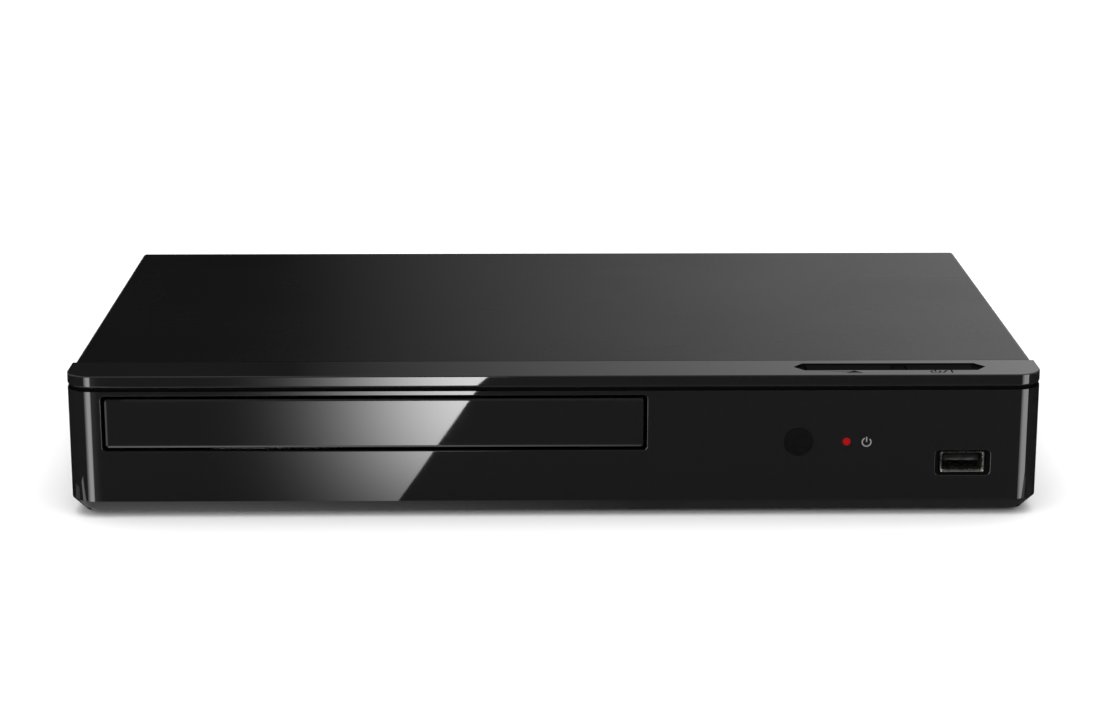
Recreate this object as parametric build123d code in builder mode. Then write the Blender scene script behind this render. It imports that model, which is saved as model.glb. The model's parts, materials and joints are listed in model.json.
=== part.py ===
from build123d import *
import os
from math import acos, asin, atan, ceil, cos, degrees, pi, radians, sin, tan

os.makedirs("parts", exist_ok=True)

# Driving sizes of the case, in millimetres. The frame is +Z up, front towards -Y, table at Z 0.
case_width = 312.0
case_depth = 180.0
case_height = 47.0
foot_height = 2.4
jack_reach = 6.5

# Sheet metal of the cover, chassis and rear panel
sheet = 0.8
bend_radius = 1.6
sheet_gap = 0.2
cover_set_in = 0.6
seam_gap = 0.3
rear_flange = 9.0
side_edge = 12.0
front_edge = 6.0
rear_foot = 8.0
bead_width = 6.0
bead_height = 0.6
bead_inset = 13.7
bead_behind_front_lug = 22.0
bead_ahead_of_rear_lug = 4.0

# Moulded front panel
panel_depth = 18.2
panel_wall = 2.2
panel_corner_radius = 8.5
panel_ground_gap = 1.1
panel_chamfer = 4.4
panel_floor = 1.8
panel_floor_depth = 6.0
panel_side_floor = 1.4
panel_edge_radius = 0.4
lip_height = 4.0
lip_under_radius = 0.9
groove_width = 1.0
groove_depth = 0.9
ledge_length = 5.0
ledge_wall = 1.6
ledge_clearance = 1.6
edge_tolerance = 0.01

# Tray door and its opening
door_width = 171.7
door_height = 15.9
door_thickness = 3.0
door_gap = 1.1
door_recess = 0.3
door_bevel = 0.6
door_wall = 1.6
door_pocket = 14.4
door_left_margin = 12.65
door_z = 31.4
opening_corner = 1.2
opening_edge = 0.35

# Front features, placed from the right end of the panel and from the table
ir_from_right = 77.9
ir_z = 24.9
ir_radius = 4.6
led_pitch = 15.4
led_radius = 1.25
led_pipe_length = 3.0
lens_gap = 0.1
lens_flange = 1.0
usb_from_right = 25.0
usb_z = 17.7
usb_mouth_width = 17.8
usb_mouth_height = 8.4
usb_mouth_corner = 1.4
usb_mouth_gap = 0.4
usb_shell_width = 13.2
usb_shell_height = 5.8
usb_shell_length = 16.0
usb_shell_wall = 0.4
usb_back = 4.0
usb_tongue = 1.9
usb_tongue_margin = 1.1
usb_tongue_drop = 0.8

# Buttons in the recess of the lip, their board and switches
recess_from_right = 17.1
recess_length = 62.0
recess_point = 3.2
recess_front = 5.8
recess_width = 8.7
recess_depth = 0.8
recess_margin = 0.4
open_close_inset = 3.7
open_close_width = 28.4
power_inset = 3.8
power_width = 22.1
button_gap = 0.35
button_top_drop = 0.3
button_corner = 1.2
button_flange = 1.0
button_flange_height = 1.4
button_clearance = 0.2
button_stem_radius = 1.6
button_stem_length = 1.8
button_travel = 0.6
switch_slack = 0.1
switch_height = 4.0
switch_side = 6.0
switch_plunger = 0.8
switch_plunger_radius = 1.7
button_board_sheet = 1.2
boss_radius = 2.5

# Boards and what fastens them
board = 1.6
standoff = 6.0
post_radius = 3.0
pilot_radius = 1.2
screw_radius = 1.5
screw_hole = 0.2
screw_head_radius = 2.9
screw_head_height = 1.6
screw_grip = 4.0
thread_depth = 0.35
thread_gap = 0.1
cover_screw_length = 3.6
skirt_screw_z = 8.0
skirt_screw_front = 40.0
skirt_screw_rear = 35.0
flange_screw_inset = 20.0
flange_screw_drop = 5.0
board_hole_inset = 4.0
board_rear_clear = 24.0
board_rear_gap = 1.0
board_side_gap = 7.0
main_board_length = 104.0
power_board_side = 5.0
power_board_width = 52.0
power_board_length = 122.0
front_board_left = 22.0
front_board_right = 16.0
front_board_gap = 3.0
front_board_reach = 12.0

# Feet and vent slots
foot_radius = 7.5
foot_peg = 2.0
foot_peg_gap = 0.1
foot_round = 0.6
foot_inset = 21.0
foot_front_inset = 9.0
foot_rear_inset = 16.0
slot_length = 14.0
slot_width = 2.2
vent_rows = 2
main_vent_count = 8
power_vent_count = 6
rear_slot_pitch = 5.0
rear_slot_height = 16.0
rear_slot_count = 14
rear_slot_shift = 20.0

# Sockets at the rear, sizes over their shells
shell_wall = 0.5
socket_proud = 0.6
cut_gap = 0.4
insert_drop = 0.3
hdmi_width = 15.0
hdmi_height = 5.8
hdmi_length = 11.5
hdmi_cut = 2.0
hdmi_back = 3.0
hdmi_tongue = 1.8
hdmi_tongue_margin = 2.0
hdmi_tongue_drop = 1.5
lan_width = 16.0
lan_height = 13.4
lan_length = 16.0
lan_well_width = 12.0
lan_well_height = 7.0
lan_well_depth = 12.5
lan_well_lift = 0.8
lan_latch_width = 6.4
lan_latch_height = 2.6
coax_body_width = 10.0
coax_body_height = 12.0
coax_body_length = 10.0
coax_axis_height = 6.6
coax_barrel_radius = 4.15
coax_bore_radius = 1.65
coax_insulator_radius = 3.4
coax_neck_radius = 4.0
coax_collar_radius = 5.4
coax_collar = 0.8
coax_insulator_drop = 1.0
coax_bore_depth = 10.0
inlet_from_right = 22.0
inlet_width = 22.0
inlet_height = 14.0
inlet_length = 18.0
inlet_corner = 2.0
inlet_pitch = 8.6
inlet_lobe = 4.4
inlet_waist = 6.2
inlet_lip = 1.2
inlet_flange = 1.6
inlet_pin_radius = 1.15
inlet_pin_length = 9.5
inlet_pin_tip = 0.5
inlet_well = 12.0

# Parts on the boards
receiver_gap = 3.2
receiver_width = 6.0
receiver_height = 7.0
receiver_depth = 2.8
receiver_dome = 2.4
receiver_dome_taper = 25.0
receiver_leg_pitch = 1.9
leg = 0.5
diode_radius = 1.5
diode_length = 5.0
diode_gap = 0.4
diode_dome = 0.8
diode_leg_pitch = 1.6
chip_height = 2.2
chip_side = 27.0
memory_width = 11.0
memory_length = 14.0
memory_pitch = 20.0
memory_gap = 3.5
fin_count = 7
fin_height = 12.0
fin_wall = 1.4
sink_base = 2.5
core_width = 28.0
core_depth = 24.0
core_height = 22.0
core_leg = 6.0
core_base = 0.8
capacitor_radius = 8.0
capacitor_height = 26.0
capacitor_round = 1.0
capacitor_spread = 34.0
rear_capacitor_inset = 19.0
front_capacitor_inset = 16.0
power_sink_width = 16.0
power_sink_depth = 10.0
power_sink_fins = 3
power_sink_inset = 14.0
power_sink_ahead = 30.0
plug_width = 18.0
plug_depth = 5.0
plug_height = 4.0
plug_front_inset = 4.0
plug_rear_inset = 6.0
flex = 0.4
flex_inset = 18.0
flex_arch = 2.0
flex_margin = 1.0
wire_ahead = 8.0
wire_count = 6
wire_pitch = 2.4
wire_radius = 0.8

# Disc tray
disc_diameter = 120.0
pocket_gap = 0.8
pocket_depth = 3.0
pocket_flare = 0.9
small_pocket_radius = 40.5
small_pocket_depth = 0.8
finger_notch = 24.0
tray_width = 132.0
tray_front_rim = 5.0
tray_floor = 2.0
tray_over_door_centre = 2.6
tray_rail_width = 6.0
tray_rail_drop = 2.5
tray_slot_width = 50.0
tray_travel = 130.0
tray_corner = 4.0
tray_apron = 2.0
apron_margin = 1.0
tray_end_gap = 1.0

# Loader frame and clamp bridge
loader_wall = 2.0
loader_side_gap = 0.5
loader_rear_room = 12.0
lug_reach = 8.0
lug_half = 5.0
lug_front_inset = 8.0
lug_rear_inset = 14.0
rib_proud = 1.0
rib_width = 1.4
rib_count = 6
rib_end_inset = 14.0
guide_gap = 0.25
guide_width = 4.0
guide_height = 1.5
hold_down_length = 12.0
hold_down_spread = 34.0
deck_thickness = 2.0
deck_drop = 9.0
window_gap = 2.0
window_rear_room = 6.0
ear_gap = 0.4
ear_wall = 4.0
ear_half = 5.0
ear_rim = 1.2
hook_left = 14.0
hook_right = 30.0
hook_width = 6.0
hook_wall = 1.4
hook_reach = 2.0
bridge_thickness = 1.2
bridge_lift = 3.0
bridge_width = 36.0
bridge_rib = 2.0
bridge_hole = 10.0
bridge_slot_length = 32.4
bridge_slot_width = 18.0
bridge_slot_inset = 26.0
clamper_float = 0.2
clamper_flange = 13.0
clamper_cap_over = 1.0
clamper_rim = 1.4
clamper_hub = 9.0
clamper_well = 2.0
cone_radius = 7.4
cone_gap = 0.8
cone_height = 1.8
cone_taper = 30.0
magnet_radius = 6.0
magnet_height = 1.5

# Gear train that drives the tray rack
gear_module = 1.0
gear_backlash = 0.24
gear_addendum = 0.85
gear_dedendum = 1.2
pressure_angle = 20.0
tooth_root = 0.5
rack_inset = 16.0
rack_beam = 4.0
rack_over_sill = 0.6
rack_end_teeth = 2
tray_pinion_teeth = 18
tray_wheel_teeth = 26
pulley_pinion_teeth = 14
axle_radius = 1.5
washer_width = 1.0
washer_gap = 0.1
running_gap = 0.06
gear_lift = 0.4
gear_room = 2.0
wheel_face = 2.6
pulley_flange_radius = 9.4
pulley_groove_radius = 8.0
pulley_height = 3.4
pulley_over_wheel = 0.8
motor_pulley_flange = 4.1
motor_pulley_groove = 2.6
belt_size = 1.4
belt_gap = 0.3
motor_spacing = 32.0
motor_shift = 2.0
motor_radius = 12.2
motor_height = 11.6
motor_round = 1.0
motor_boss_radius = 3.0
motor_boss_height = 1.2
motor_boss_gap = 1.0
shaft_radius = 1.0
shaft_float = 0.5

# Traverse, drawn level as in play and hinged down at rest
seat_over_pocket = 2.4
clamper_over_seat = 1.8
lens_under_disc = 1.6
spindle_lift = 5.5
hinge_inset = 14.0
hinge_radius = 2.0
hinge_over_deck = 0.6
hinge_bar = 4.0
cam_angle = 30.0
cam_pin_radius = 1.5
cam_pin_x = 22.0
cam_pin_short = 0.3
cam_pin_root = 1.0
cam_slot_gap = 0.4
cam_plate = 2.0
cam_flange = 8.5
slider_half = 36.0
slot_wall = 2.0
pin_ahead_of_spindle = 23.0
holder_half = 50.0
holder_bar = 10.0
holder_front_bar = 6.0
holder_under = -1.5
holder_top = 1.5
holder_gap = 2.0
holder_tail = 3.0
damper_height = 2.0
damper_radius = 3.4
damper_inset = 1.0
damper_ahead = 12.0
plate_sheet = 1.2
plate_margin = 2.5
plate_front = 18.0
plate_rear = 5.0
spindle_hole = 5.0
rod_x = 17.0
rod_lift = 2.3
rod_radius = 1.5
rod_front = 12.0
post_half = 2.5
post_length = 3.0
post_rim = 0.8
screw_x = 26.0
lead_drop = 0.8
lead_radius = 1.2
lead_gap = 0.3
sled_motor_radius = 4.3
sled_motor_length = 12.0
sled_motor_gap = 1.0
tab_setback = 2.0
tab_sheet = 1.2
tab_trim = 0.6
window_past_rod = 6.0
window_overlap = 2.0
stator_radius = 12.0
stator_height = 8.0
stator_boss_gap = 0.2
spindle_radius = 1.2
spindle_floor = 2.0
bell_radius = 11.5
bell_gap = 0.5
bell_height = 3.4
bell_step = 3.0
turntable_radius = 14.8
turntable_sheet = 1.8
pickup_rest_radius = 24.0
pickup_ahead = 8.0
pickup_behind = 14.0
pickup_past_rod = 3.5
pickup_below_rod = 6.0
pickup_notch = 6.0
pickup_roof = 0.6
follower_wall = 1.4
follower_length = 6.0
lens_radius = 3.4
lens_rise = 0.9
lens_round = 0.6

# Places of the case that follow from the sizes above
half_width = case_width / 2
front_y = -(case_depth + jack_reach) / 2
panel_inner_y = front_y + panel_wall
seam_y = front_y + panel_depth
cover_rear_y = front_y + case_depth
rear_face_y = cover_rear_y - sheet - sheet_gap
rear_inner_y = rear_face_y - sheet
top_z = case_height
cover_under_z = top_z - sheet
floor_z = foot_height
floor_top_z = floor_z + sheet
cover_outer_x = half_width - cover_set_in
cover_inner_x = cover_outer_x - sheet
chassis_outer_x = cover_inner_x - sheet_gap
board_z = floor_top_z + standoff
board_top_z = board_z + board
door_x = -half_width + door_left_margin + door_width / 2
ir_x = half_width - ir_from_right
led_x = ir_x + led_pitch
usb_x = half_width - usb_from_right


def box_between(x0, x1, y0, y1, z0, z1, mode=Mode.ADD):
    """Block between two corners, added to the part that is being built."""
    with BuildSketch(Plane.XY.offset(z0)) as base:
        with Locations(((x0 + x1) / 2, (y0 + y1) / 2)):
            Rectangle(x1 - x0, y1 - y0)
    extrude(base.sketch, amount=z1 - z0, mode=mode)


def cylinder_up(points, radius, z0, z1, mode=Mode.ADD):
    """Upright cylinders on the given plan points."""
    with BuildSketch(Plane.XY.offset(z0)) as base:
        with Locations(*points):
            Circle(radius)
    extrude(base.sketch, amount=z1 - z0, mode=mode)


def front_plane(y):
    """Plane seen from the front: local x is X and local y is Z, facing -Y."""
    return Plane((0, y, 0), x_dir=(1, 0, 0), z_dir=(0, -1, 0))


def side_plane(x):
    """Plane seen from the right: local x is Y and local y is Z, facing +X."""
    return Plane((x, 0, 0), x_dir=(0, 1, 0), z_dir=(1, 0, 0))


# Front panel: one moulding with the lip, the shadow groove, the tray opening and the plinth chamfer
def panel_outline(inset):
    """Plan of the front panel, drawn in by a wall on the front and the sides and open to the rear."""
    with BuildSketch() as plan:
        with Locations((0, (front_y + inset + seam_y) / 2)):
            Rectangle(case_width - 2 * inset, panel_depth - inset)
        fillet(plan.vertices().group_by(Axis.Y)[0], panel_corner_radius - inset)
    add(plan.sketch)


ledge_drop = cover_under_z - floor_z - side_edge - ledge_clearance
groove_top_z = top_z - lip_height
groove_base_z = groove_top_z - groove_width
lip_under_z = top_z - panel_wall
panel_floor_z = panel_ground_gap + panel_floor
panel_floor_end_y = front_y + panel_floor_depth
panel_open_x = half_width - panel_chamfer - panel_side_floor
recess_floor_z = top_z - recess_depth
recess_right = half_width - recess_from_right
recess_left = recess_right - recess_length
recess_y = front_y + recess_front + recess_width / 2
button_hole_depth = recess_width - 2 * recess_margin
buttons = [
    (recess_left + open_close_inset + open_close_width / 2, open_close_width),
    (recess_right - power_inset - power_width / 2, power_width),
]
flange_under_z = lip_under_z - button_clearance - button_flange_height
plunger_top_z = flange_under_z - button_stem_length - button_travel - switch_slack
button_board_top_z = plunger_top_z - switch_height
boss_points = [(recess_left - boss_radius, recess_y), (recess_right + boss_radius, recess_y)]

with BuildPart() as panel_hollow:
    with BuildSketch(Plane.XY.offset(panel_floor_z)):
        panel_outline(panel_wall)
    extrude(amount=lip_under_z - panel_floor_z)
    hollow_floor = panel_hollow.faces().sort_by(Axis.Z)[0]
    chamfer(hollow_floor.edges().sort_by(Axis.Y)[:-1], panel_chamfer - panel_floor)

with BuildPart() as front_panel:
    with BuildSketch(Plane.XY.offset(groove_top_z)):
        panel_outline(0)
    extrude(amount=lip_height)
    fillet(front_panel.faces().sort_by(Axis.Z)[-1].edges().sort_by(Axis.Y)[:-1], panel_edge_radius)
    fillet(front_panel.faces().sort_by(Axis.Z)[0].edges().sort_by(Axis.Y)[:-1], lip_under_radius)
    with BuildSketch(Plane.XY.offset(groove_base_z)):
        panel_outline(groove_depth)
    extrude(amount=groove_width)
    with BuildSketch(Plane.XY.offset(panel_ground_gap)):
        panel_outline(0)
    extrude(amount=groove_base_z - panel_ground_gap)
    chamfer(front_panel.faces().sort_by(Axis.Z)[0].edges().sort_by(Axis.Y)[:-1], panel_chamfer)
    add(panel_hollow.part, mode=Mode.SUBTRACT)
    # Behind and between its floor strips the panel stays open, so that the chassis can stand in it
    box_between(
        -panel_open_x, panel_open_x, panel_floor_end_y, seam_y,
        panel_ground_gap, panel_ground_gap + panel_chamfer, mode=Mode.SUBTRACT,
    )
    # Tongue behind the seam, on which the cover lies
    with BuildSketch(front_plane(seam_y + ledge_length)) as ledge:
        with Locations((0, cover_under_z - ledge_drop / 2)):
            Rectangle(2 * chassis_outer_x, ledge_drop)
        fillet(ledge.vertices().group_by(Axis.Y)[-1], bend_radius)
        with Locations((0, cover_under_z - ledge_wall - ledge_drop / 2)):
            Rectangle(2 * (chassis_outer_x - ledge_wall), ledge_drop, mode=Mode.SUBTRACT)
    extrude(amount=ledge_length + panel_wall)
    # Tray opening with a small edge round
    with BuildSketch(front_plane(front_y)):
        with Locations((door_x, door_z)):
            RectangleRounded(door_width + 2 * door_gap, door_height + 2 * door_gap, opening_corner)
    extrude(amount=-2 * panel_wall, mode=Mode.SUBTRACT)
    opening_edges = front_panel.edges(Select.LAST)
    fillet(
        opening_edges.filter_by_position(Axis.Y, front_y - edge_tolerance, front_y + edge_tolerance),
        opening_edge,
    )
    # Holes for the infrared window and the indicator
    with BuildSketch(front_plane(front_y)):
        with Locations((ir_x, ir_z)):
            Circle(ir_radius + lens_gap)
        with Locations((led_x, ir_z)):
            Circle(led_radius + lens_gap)
    extrude(amount=-2 * panel_wall, mode=Mode.SUBTRACT)
    # Funnel in front of the USB socket
    with BuildSketch(front_plane(front_y)):
        with Locations((usb_x, usb_z)):
            RectangleRounded(usb_mouth_width, usb_mouth_height, usb_mouth_corner)
    with BuildSketch(front_plane(panel_inner_y)):
        with Locations((usb_x, usb_z)):
            RectangleRounded(
                usb_shell_width + 2 * usb_mouth_gap,
                usb_shell_height + 2 * usb_mouth_gap,
                usb_mouth_corner / 2,
            )
    loft(mode=Mode.SUBTRACT)
    # Button recess with pointed ends, and the two holes in its floor
    with BuildSketch(Plane.XY.offset(recess_floor_z)):
        with BuildLine():
            Polyline(
                (recess_left, recess_y),
                (recess_left + recess_point, recess_y - recess_width / 2),
                (recess_right - recess_point, recess_y - recess_width / 2),
                (recess_right, recess_y),
                (recess_right - recess_point, recess_y + recess_width / 2),
                (recess_left + recess_point, recess_y + recess_width / 2),
                close=True,
            )
        make_face()
    extrude(amount=recess_depth, mode=Mode.SUBTRACT)
    with BuildSketch(Plane.XY.offset(lip_under_z)):
        for button_x, width in buttons:
            with Locations((button_x, recess_y)):
                RectangleRounded(width, button_hole_depth, button_corner)
    extrude(amount=panel_wall, mode=Mode.SUBTRACT)
    # Bosses that carry the button board
    cylinder_up(boss_points, boss_radius, button_board_top_z, lip_under_z)
    cylinder_up(boss_points, pilot_radius, button_board_top_z, lip_under_z - panel_wall, mode=Mode.SUBTRACT)

# Tray door: bar with bevelled edges and hollow ends, clipped to the tray's front
door_face_y = front_y + door_recess
tray_front_y = door_face_y + door_thickness
with BuildPart() as tray_door:
    with BuildSketch(front_plane(tray_front_y)):
        with Locations((door_x, door_z)):
            RectangleRounded(door_width, door_height, opening_corner - door_gap / 2)
    extrude(amount=door_thickness)
    chamfer(tray_door.faces().sort_by(Axis.Y)[0].edges(), door_bevel)
    with BuildSketch(front_plane(tray_front_y)):
        with Locations((door_x, door_z)):
            with GridLocations(door_width - door_pocket - 2 * door_wall, 0, 2, 1):
                Rectangle(door_pocket, door_height - 2 * door_wall)
    extrude(amount=door_thickness - door_wall, mode=Mode.SUBTRACT)


# Infrared window and indicator lens: plugs with a flange behind the panel wall
def front_plug(x, radius, flange_length):
    """Round plug, flush with the panel's face and held by its flange behind the wall."""
    with BuildSketch(front_plane(panel_inner_y)) as plug:
        with Locations((x, ir_z)):
            Circle(radius)
    extrude(plug.sketch, amount=panel_wall)
    with BuildSketch(front_plane(panel_inner_y + flange_length)) as flange:
        with Locations((x, ir_z)):
            Circle(radius + lens_flange)
    extrude(flange.sketch, amount=flange_length)


with BuildPart() as ir_window:
    front_plug(ir_x, ir_radius, lens_flange)

with BuildPart() as led_lens:
    front_plug(led_x, led_radius, led_pipe_length)


# Buttons: a cap in the recess, a flange under the lip wall and a stem over the tact switch
def button_cap(button_x, width):
    """Cap, retaining flange and stem of one button, added to the part that is being built."""
    with BuildSketch(Plane.XY.offset(lip_under_z - button_clearance)) as cap:
        with Locations((button_x, recess_y)):
            RectangleRounded(
                width - 2 * button_gap, button_hole_depth - 2 * button_gap, button_corner - button_gap
            )
    extrude(cap.sketch, amount=top_z - button_top_drop - lip_under_z + button_clearance)
    with BuildSketch(Plane.XY.offset(flange_under_z)) as flange:
        with Locations((button_x, recess_y)):
            RectangleRounded(width + button_flange, button_hole_depth + button_flange, button_corner)
    extrude(flange.sketch, amount=button_flange_height)
    stem_end_z = flange_under_z - button_stem_length
    cylinder_up([(button_x, recess_y)], button_stem_radius, stem_end_z, flange_under_z)


with BuildPart() as open_close_button:
    button_cap(*buttons[0])
    chamfer(open_close_button.faces().sort_by(Axis.Z)[-1].edges(), button_gap)

with BuildPart() as power_button:
    button_cap(*buttons[1])
    chamfer(power_button.faces().sort_by(Axis.Z)[-1].edges(), button_gap)

# Button board under the lip, with two tact switches
button_board_z = button_board_top_z - button_board_sheet
switch_points = [(button_x, recess_y) for button_x, width in buttons]
with BuildPart() as button_board:
    with BuildSketch(Plane.XY.offset(button_board_z)):
        with Locations(((recess_left + recess_right) / 2, recess_y)):
            Rectangle(recess_length + 4 * boss_radius, 2 * switch_side)
        with Locations(*boss_points):
            Circle(screw_radius + screw_hole, mode=Mode.SUBTRACT)
    extrude(amount=button_board_sheet)

with BuildPart() as tact_switches:
    with BuildSketch(Plane.XY.offset(button_board_top_z)):
        with Locations(*switch_points):
            Rectangle(switch_side, switch_side)
    extrude(amount=switch_height - switch_plunger)
    cylinder_up(switch_points, switch_plunger_radius, plunger_top_z - switch_plunger, plunger_top_z)

# Top cover: bent sheet with two skirts and a turned-down rear flange
skirt_screw_points = [
    (seam_y + skirt_screw_front, skirt_screw_z),
    (cover_rear_y - skirt_screw_rear, skirt_screw_z),
]
flange_screw_x = half_width - flange_screw_inset
flange_screw_points = [(x, top_z - flange_screw_drop) for x in (-flange_screw_x, 0, flange_screw_x)]
with BuildPart() as top_cover:
    with BuildSketch(front_plane(cover_rear_y)) as cover_profile:
        with Locations((0, (floor_z + top_z) / 2)):
            Rectangle(2 * cover_outer_x, top_z - floor_z)
        fillet(cover_profile.vertices().group_by(Axis.Y)[-1], bend_radius)
        with BuildSketch(mode=Mode.SUBTRACT) as cover_inside:
            with Locations((0, (floor_z + cover_under_z) / 2)):
                Rectangle(2 * cover_inner_x, cover_under_z - floor_z)
            fillet(cover_inside.vertices().group_by(Axis.Y)[-1], bend_radius - sheet)
    extrude(amount=cover_rear_y - seam_y - seam_gap)
    with BuildSketch(front_plane(cover_rear_y)):
        with Locations((0, cover_under_z - rear_flange / 2)):
            Rectangle(2 * cover_inner_x, rear_flange)
        with Locations(*flange_screw_points):
            Circle(screw_radius + screw_hole, mode=Mode.SUBTRACT)
    extrude(amount=sheet)
    with BuildSketch(side_plane(-cover_outer_x)):
        with Locations(*skirt_screw_points):
            Circle(screw_radius + screw_hole)
    extrude(amount=2 * cover_outer_x, mode=Mode.SUBTRACT)

# Places of the loader and the boards on the chassis floor
loader_x = door_x
loader_half = tray_width / 2 + loader_side_gap + loader_wall
lug_front_y = seam_y + lug_front_inset
lug_rear_y = rear_inner_y - loader_rear_room - lug_rear_inset
lug_points = []
for side in (-1, 1):
    for lug_y in (lug_front_y, lug_rear_y):
        lug_points.append((loader_x + side * (loader_half + lug_reach / 2), lug_y))
power_board_x = half_width - power_board_side - power_board_width
main_board_x = loader_x + loader_half + lug_reach + board_side_gap
main_board_width = power_board_x - board_side_gap - main_board_x
board_rear_y = rear_inner_y - board_rear_gap
front_board_top_z = usb_z - usb_shell_height / 2
front_board_z = front_board_top_z - board
front_board_x0 = ir_x - front_board_left
front_board_x1 = usb_x + front_board_right
front_board_y0 = panel_inner_y + front_board_gap
front_board_y1 = seam_y + front_board_reach


def board_holes(x0, width, length):
    """Screw points near the corners of a board whose rear edge stands at the rear panel."""
    left = x0 + board_hole_inset
    right = x0 + width - board_hole_inset
    front = board_rear_y - length + board_hole_inset
    rear = board_rear_y - board_rear_clear
    return [(left, front), (right, front), (left, rear), (right, rear)]


main_holes = board_holes(main_board_x, main_board_width, main_board_length)
power_holes = board_holes(power_board_x, power_board_width, power_board_length)
front_holes = [
    (front_board_x0 + board_hole_inset, front_board_y1 - board_hole_inset),
    (front_board_x1 - board_hole_inset, front_board_y1 - board_hole_inset),
]
foot_points = []
for side in (-1, 1):
    for foot_y in (seam_y + foot_front_inset, rear_inner_y - foot_rear_inset):
        foot_points.append((side * (half_width - foot_inset), foot_y))

# Chassis base: sheet floor with turned-up edges, board posts, beads and vent slots
chassis_front_y = panel_floor_end_y
chassis_side_y = seam_y + seam_gap
chassis_nose_x = panel_open_x - seam_gap
bead_length = 2 * (loader_half - bead_inset)
bead_points = [
    (loader_x, lug_front_y + bead_behind_front_lug),
    (loader_x, lug_rear_y - bead_ahead_of_rear_lug),
]
tall_points = main_holes + power_holes + lug_points
with BuildPart() as chassis_base:
    box_between(-chassis_outer_x, chassis_outer_x, chassis_side_y, rear_inner_y, floor_z, floor_top_z)
    for side in (-1, 1):
        edge_x = sorted((side * chassis_outer_x, side * (chassis_outer_x - sheet)))
        box_between(*edge_x, chassis_side_y, rear_inner_y, floor_z, floor_z + side_edge)
    fillet(chassis_base.faces().sort_by(Axis.Z)[0].edges().filter_by(Axis.Y), sheet)
    box_between(-chassis_nose_x, chassis_nose_x, chassis_front_y, chassis_side_y, floor_z, floor_top_z)
    box_between(
        -chassis_nose_x, chassis_nose_x, chassis_front_y, chassis_front_y + sheet,
        floor_z, floor_z + front_edge,
    )
    # Pressed beads stiffen the floor under the loader
    with BuildSketch(Plane.XY.offset(floor_top_z)):
        with Locations(*bead_points):
            SlotOverall(bead_length, bead_width)
    extrude(amount=bead_height)
    with BuildSketch(Plane.XY.offset(floor_z)):
        with Locations(*bead_points):
            SlotOverall(bead_length - 2 * sheet, bead_width - 2 * sheet)
    extrude(amount=bead_height, mode=Mode.SUBTRACT)
    # Posts for the boards and the loader
    cylinder_up(tall_points, post_radius, floor_top_z, board_z)
    cylinder_up(front_holes, post_radius, floor_top_z, front_board_z)
    cylinder_up(tall_points, pilot_radius, floor_top_z, board_z, mode=Mode.SUBTRACT)
    cylinder_up(front_holes, pilot_radius, floor_top_z, front_board_z, mode=Mode.SUBTRACT)
    # Vent slots under the boards and holes for the foot pegs and side screws
    with BuildSketch(Plane.XY.offset(floor_z)):
        with Locations((main_board_x + main_board_width / 2, board_rear_y - main_board_length / 2)):
            with GridLocations(2 * slot_width, 2 * slot_length, main_vent_count, vent_rows):
                Rectangle(slot_width, slot_length)
        with Locations((power_board_x + power_board_width / 2, board_rear_y - power_board_length / 2)):
            with GridLocations(2 * slot_width, 2 * slot_length, power_vent_count, vent_rows):
                Rectangle(slot_width, slot_length)
        with Locations(*foot_points):
            Circle(foot_peg + foot_peg_gap)
    extrude(amount=sheet, mode=Mode.SUBTRACT)
    with BuildSketch(side_plane(-chassis_outer_x)):
        with Locations(*skirt_screw_points):
            Circle(screw_radius + thread_gap)
    extrude(amount=2 * chassis_outer_x, mode=Mode.SUBTRACT)

# Rubber feet pegged into the floor
with BuildPart() as feet:
    cylinder_up(foot_points, foot_radius, 0, floor_z)
    chamfer(feet.faces().filter_by(Plane.XY).group_by(Axis.Z)[0].edges(), foot_round)
    cylinder_up(foot_points, foot_peg, floor_z, floor_top_z + sheet)

# Places of the rear sockets, spread evenly along the main board's rear edge
socket_face_y = rear_face_y + socket_proud
socket_gap = (main_board_width - hdmi_width - lan_width - 2 * coax_collar_radius) / 4
hdmi_x = main_board_x + socket_gap + hdmi_width / 2
lan_x = hdmi_x + hdmi_width / 2 + socket_gap + lan_width / 2
coax_x = lan_x + lan_width / 2 + socket_gap + coax_collar_radius
inlet_x = power_board_x + power_board_width - inlet_from_right
hdmi_centre = (hdmi_x, board_top_z + hdmi_height / 2)
lan_centre = (lan_x, board_top_z + lan_height / 2)
coax_z = board_top_z + coax_axis_height
coax_end_y = cover_rear_y + jack_reach
inlet_z = board_top_z + inlet_height / 2

# Rear panel: sheet with socket cut-outs, vent slots and a foot flange on the floor
rear_panel_x = chassis_outer_x - sheet - sheet_gap
rear_panel_top_z = cover_under_z - sheet_gap
with BuildPart() as rear_panel:
    box_between(-rear_panel_x, rear_panel_x, rear_inner_y, rear_face_y, floor_top_z, rear_panel_top_z)
    box_between(
        -rear_panel_x, main_board_x - cut_gap, rear_inner_y - rear_foot, rear_inner_y,
        floor_top_z, floor_top_z + sheet,
    )
    with BuildSketch(front_plane(rear_face_y)):
        with Locations(hdmi_centre):
            Rectangle(hdmi_width + 2 * cut_gap, hdmi_height + 2 * cut_gap)
        with Locations(lan_centre):
            Rectangle(lan_width + 2 * cut_gap, lan_height + 2 * cut_gap)
        with Locations((coax_x, coax_z)):
            Circle(coax_barrel_radius + cut_gap)
        with Locations((inlet_x, inlet_z)):
            Rectangle(inlet_width + 2 * cut_gap, inlet_height + 2 * cut_gap)
        with Locations((loader_x - rear_slot_shift, (floor_top_z + rear_panel_top_z) / 2)):
            with GridLocations(rear_slot_pitch, 0, rear_slot_count, 1):
                SlotOverall(rear_slot_height, slot_width, rotation=90)
        with Locations(*flange_screw_points):
            Circle(screw_radius + thread_gap)
    extrude(amount=sheet, mode=Mode.SUBTRACT)

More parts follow.
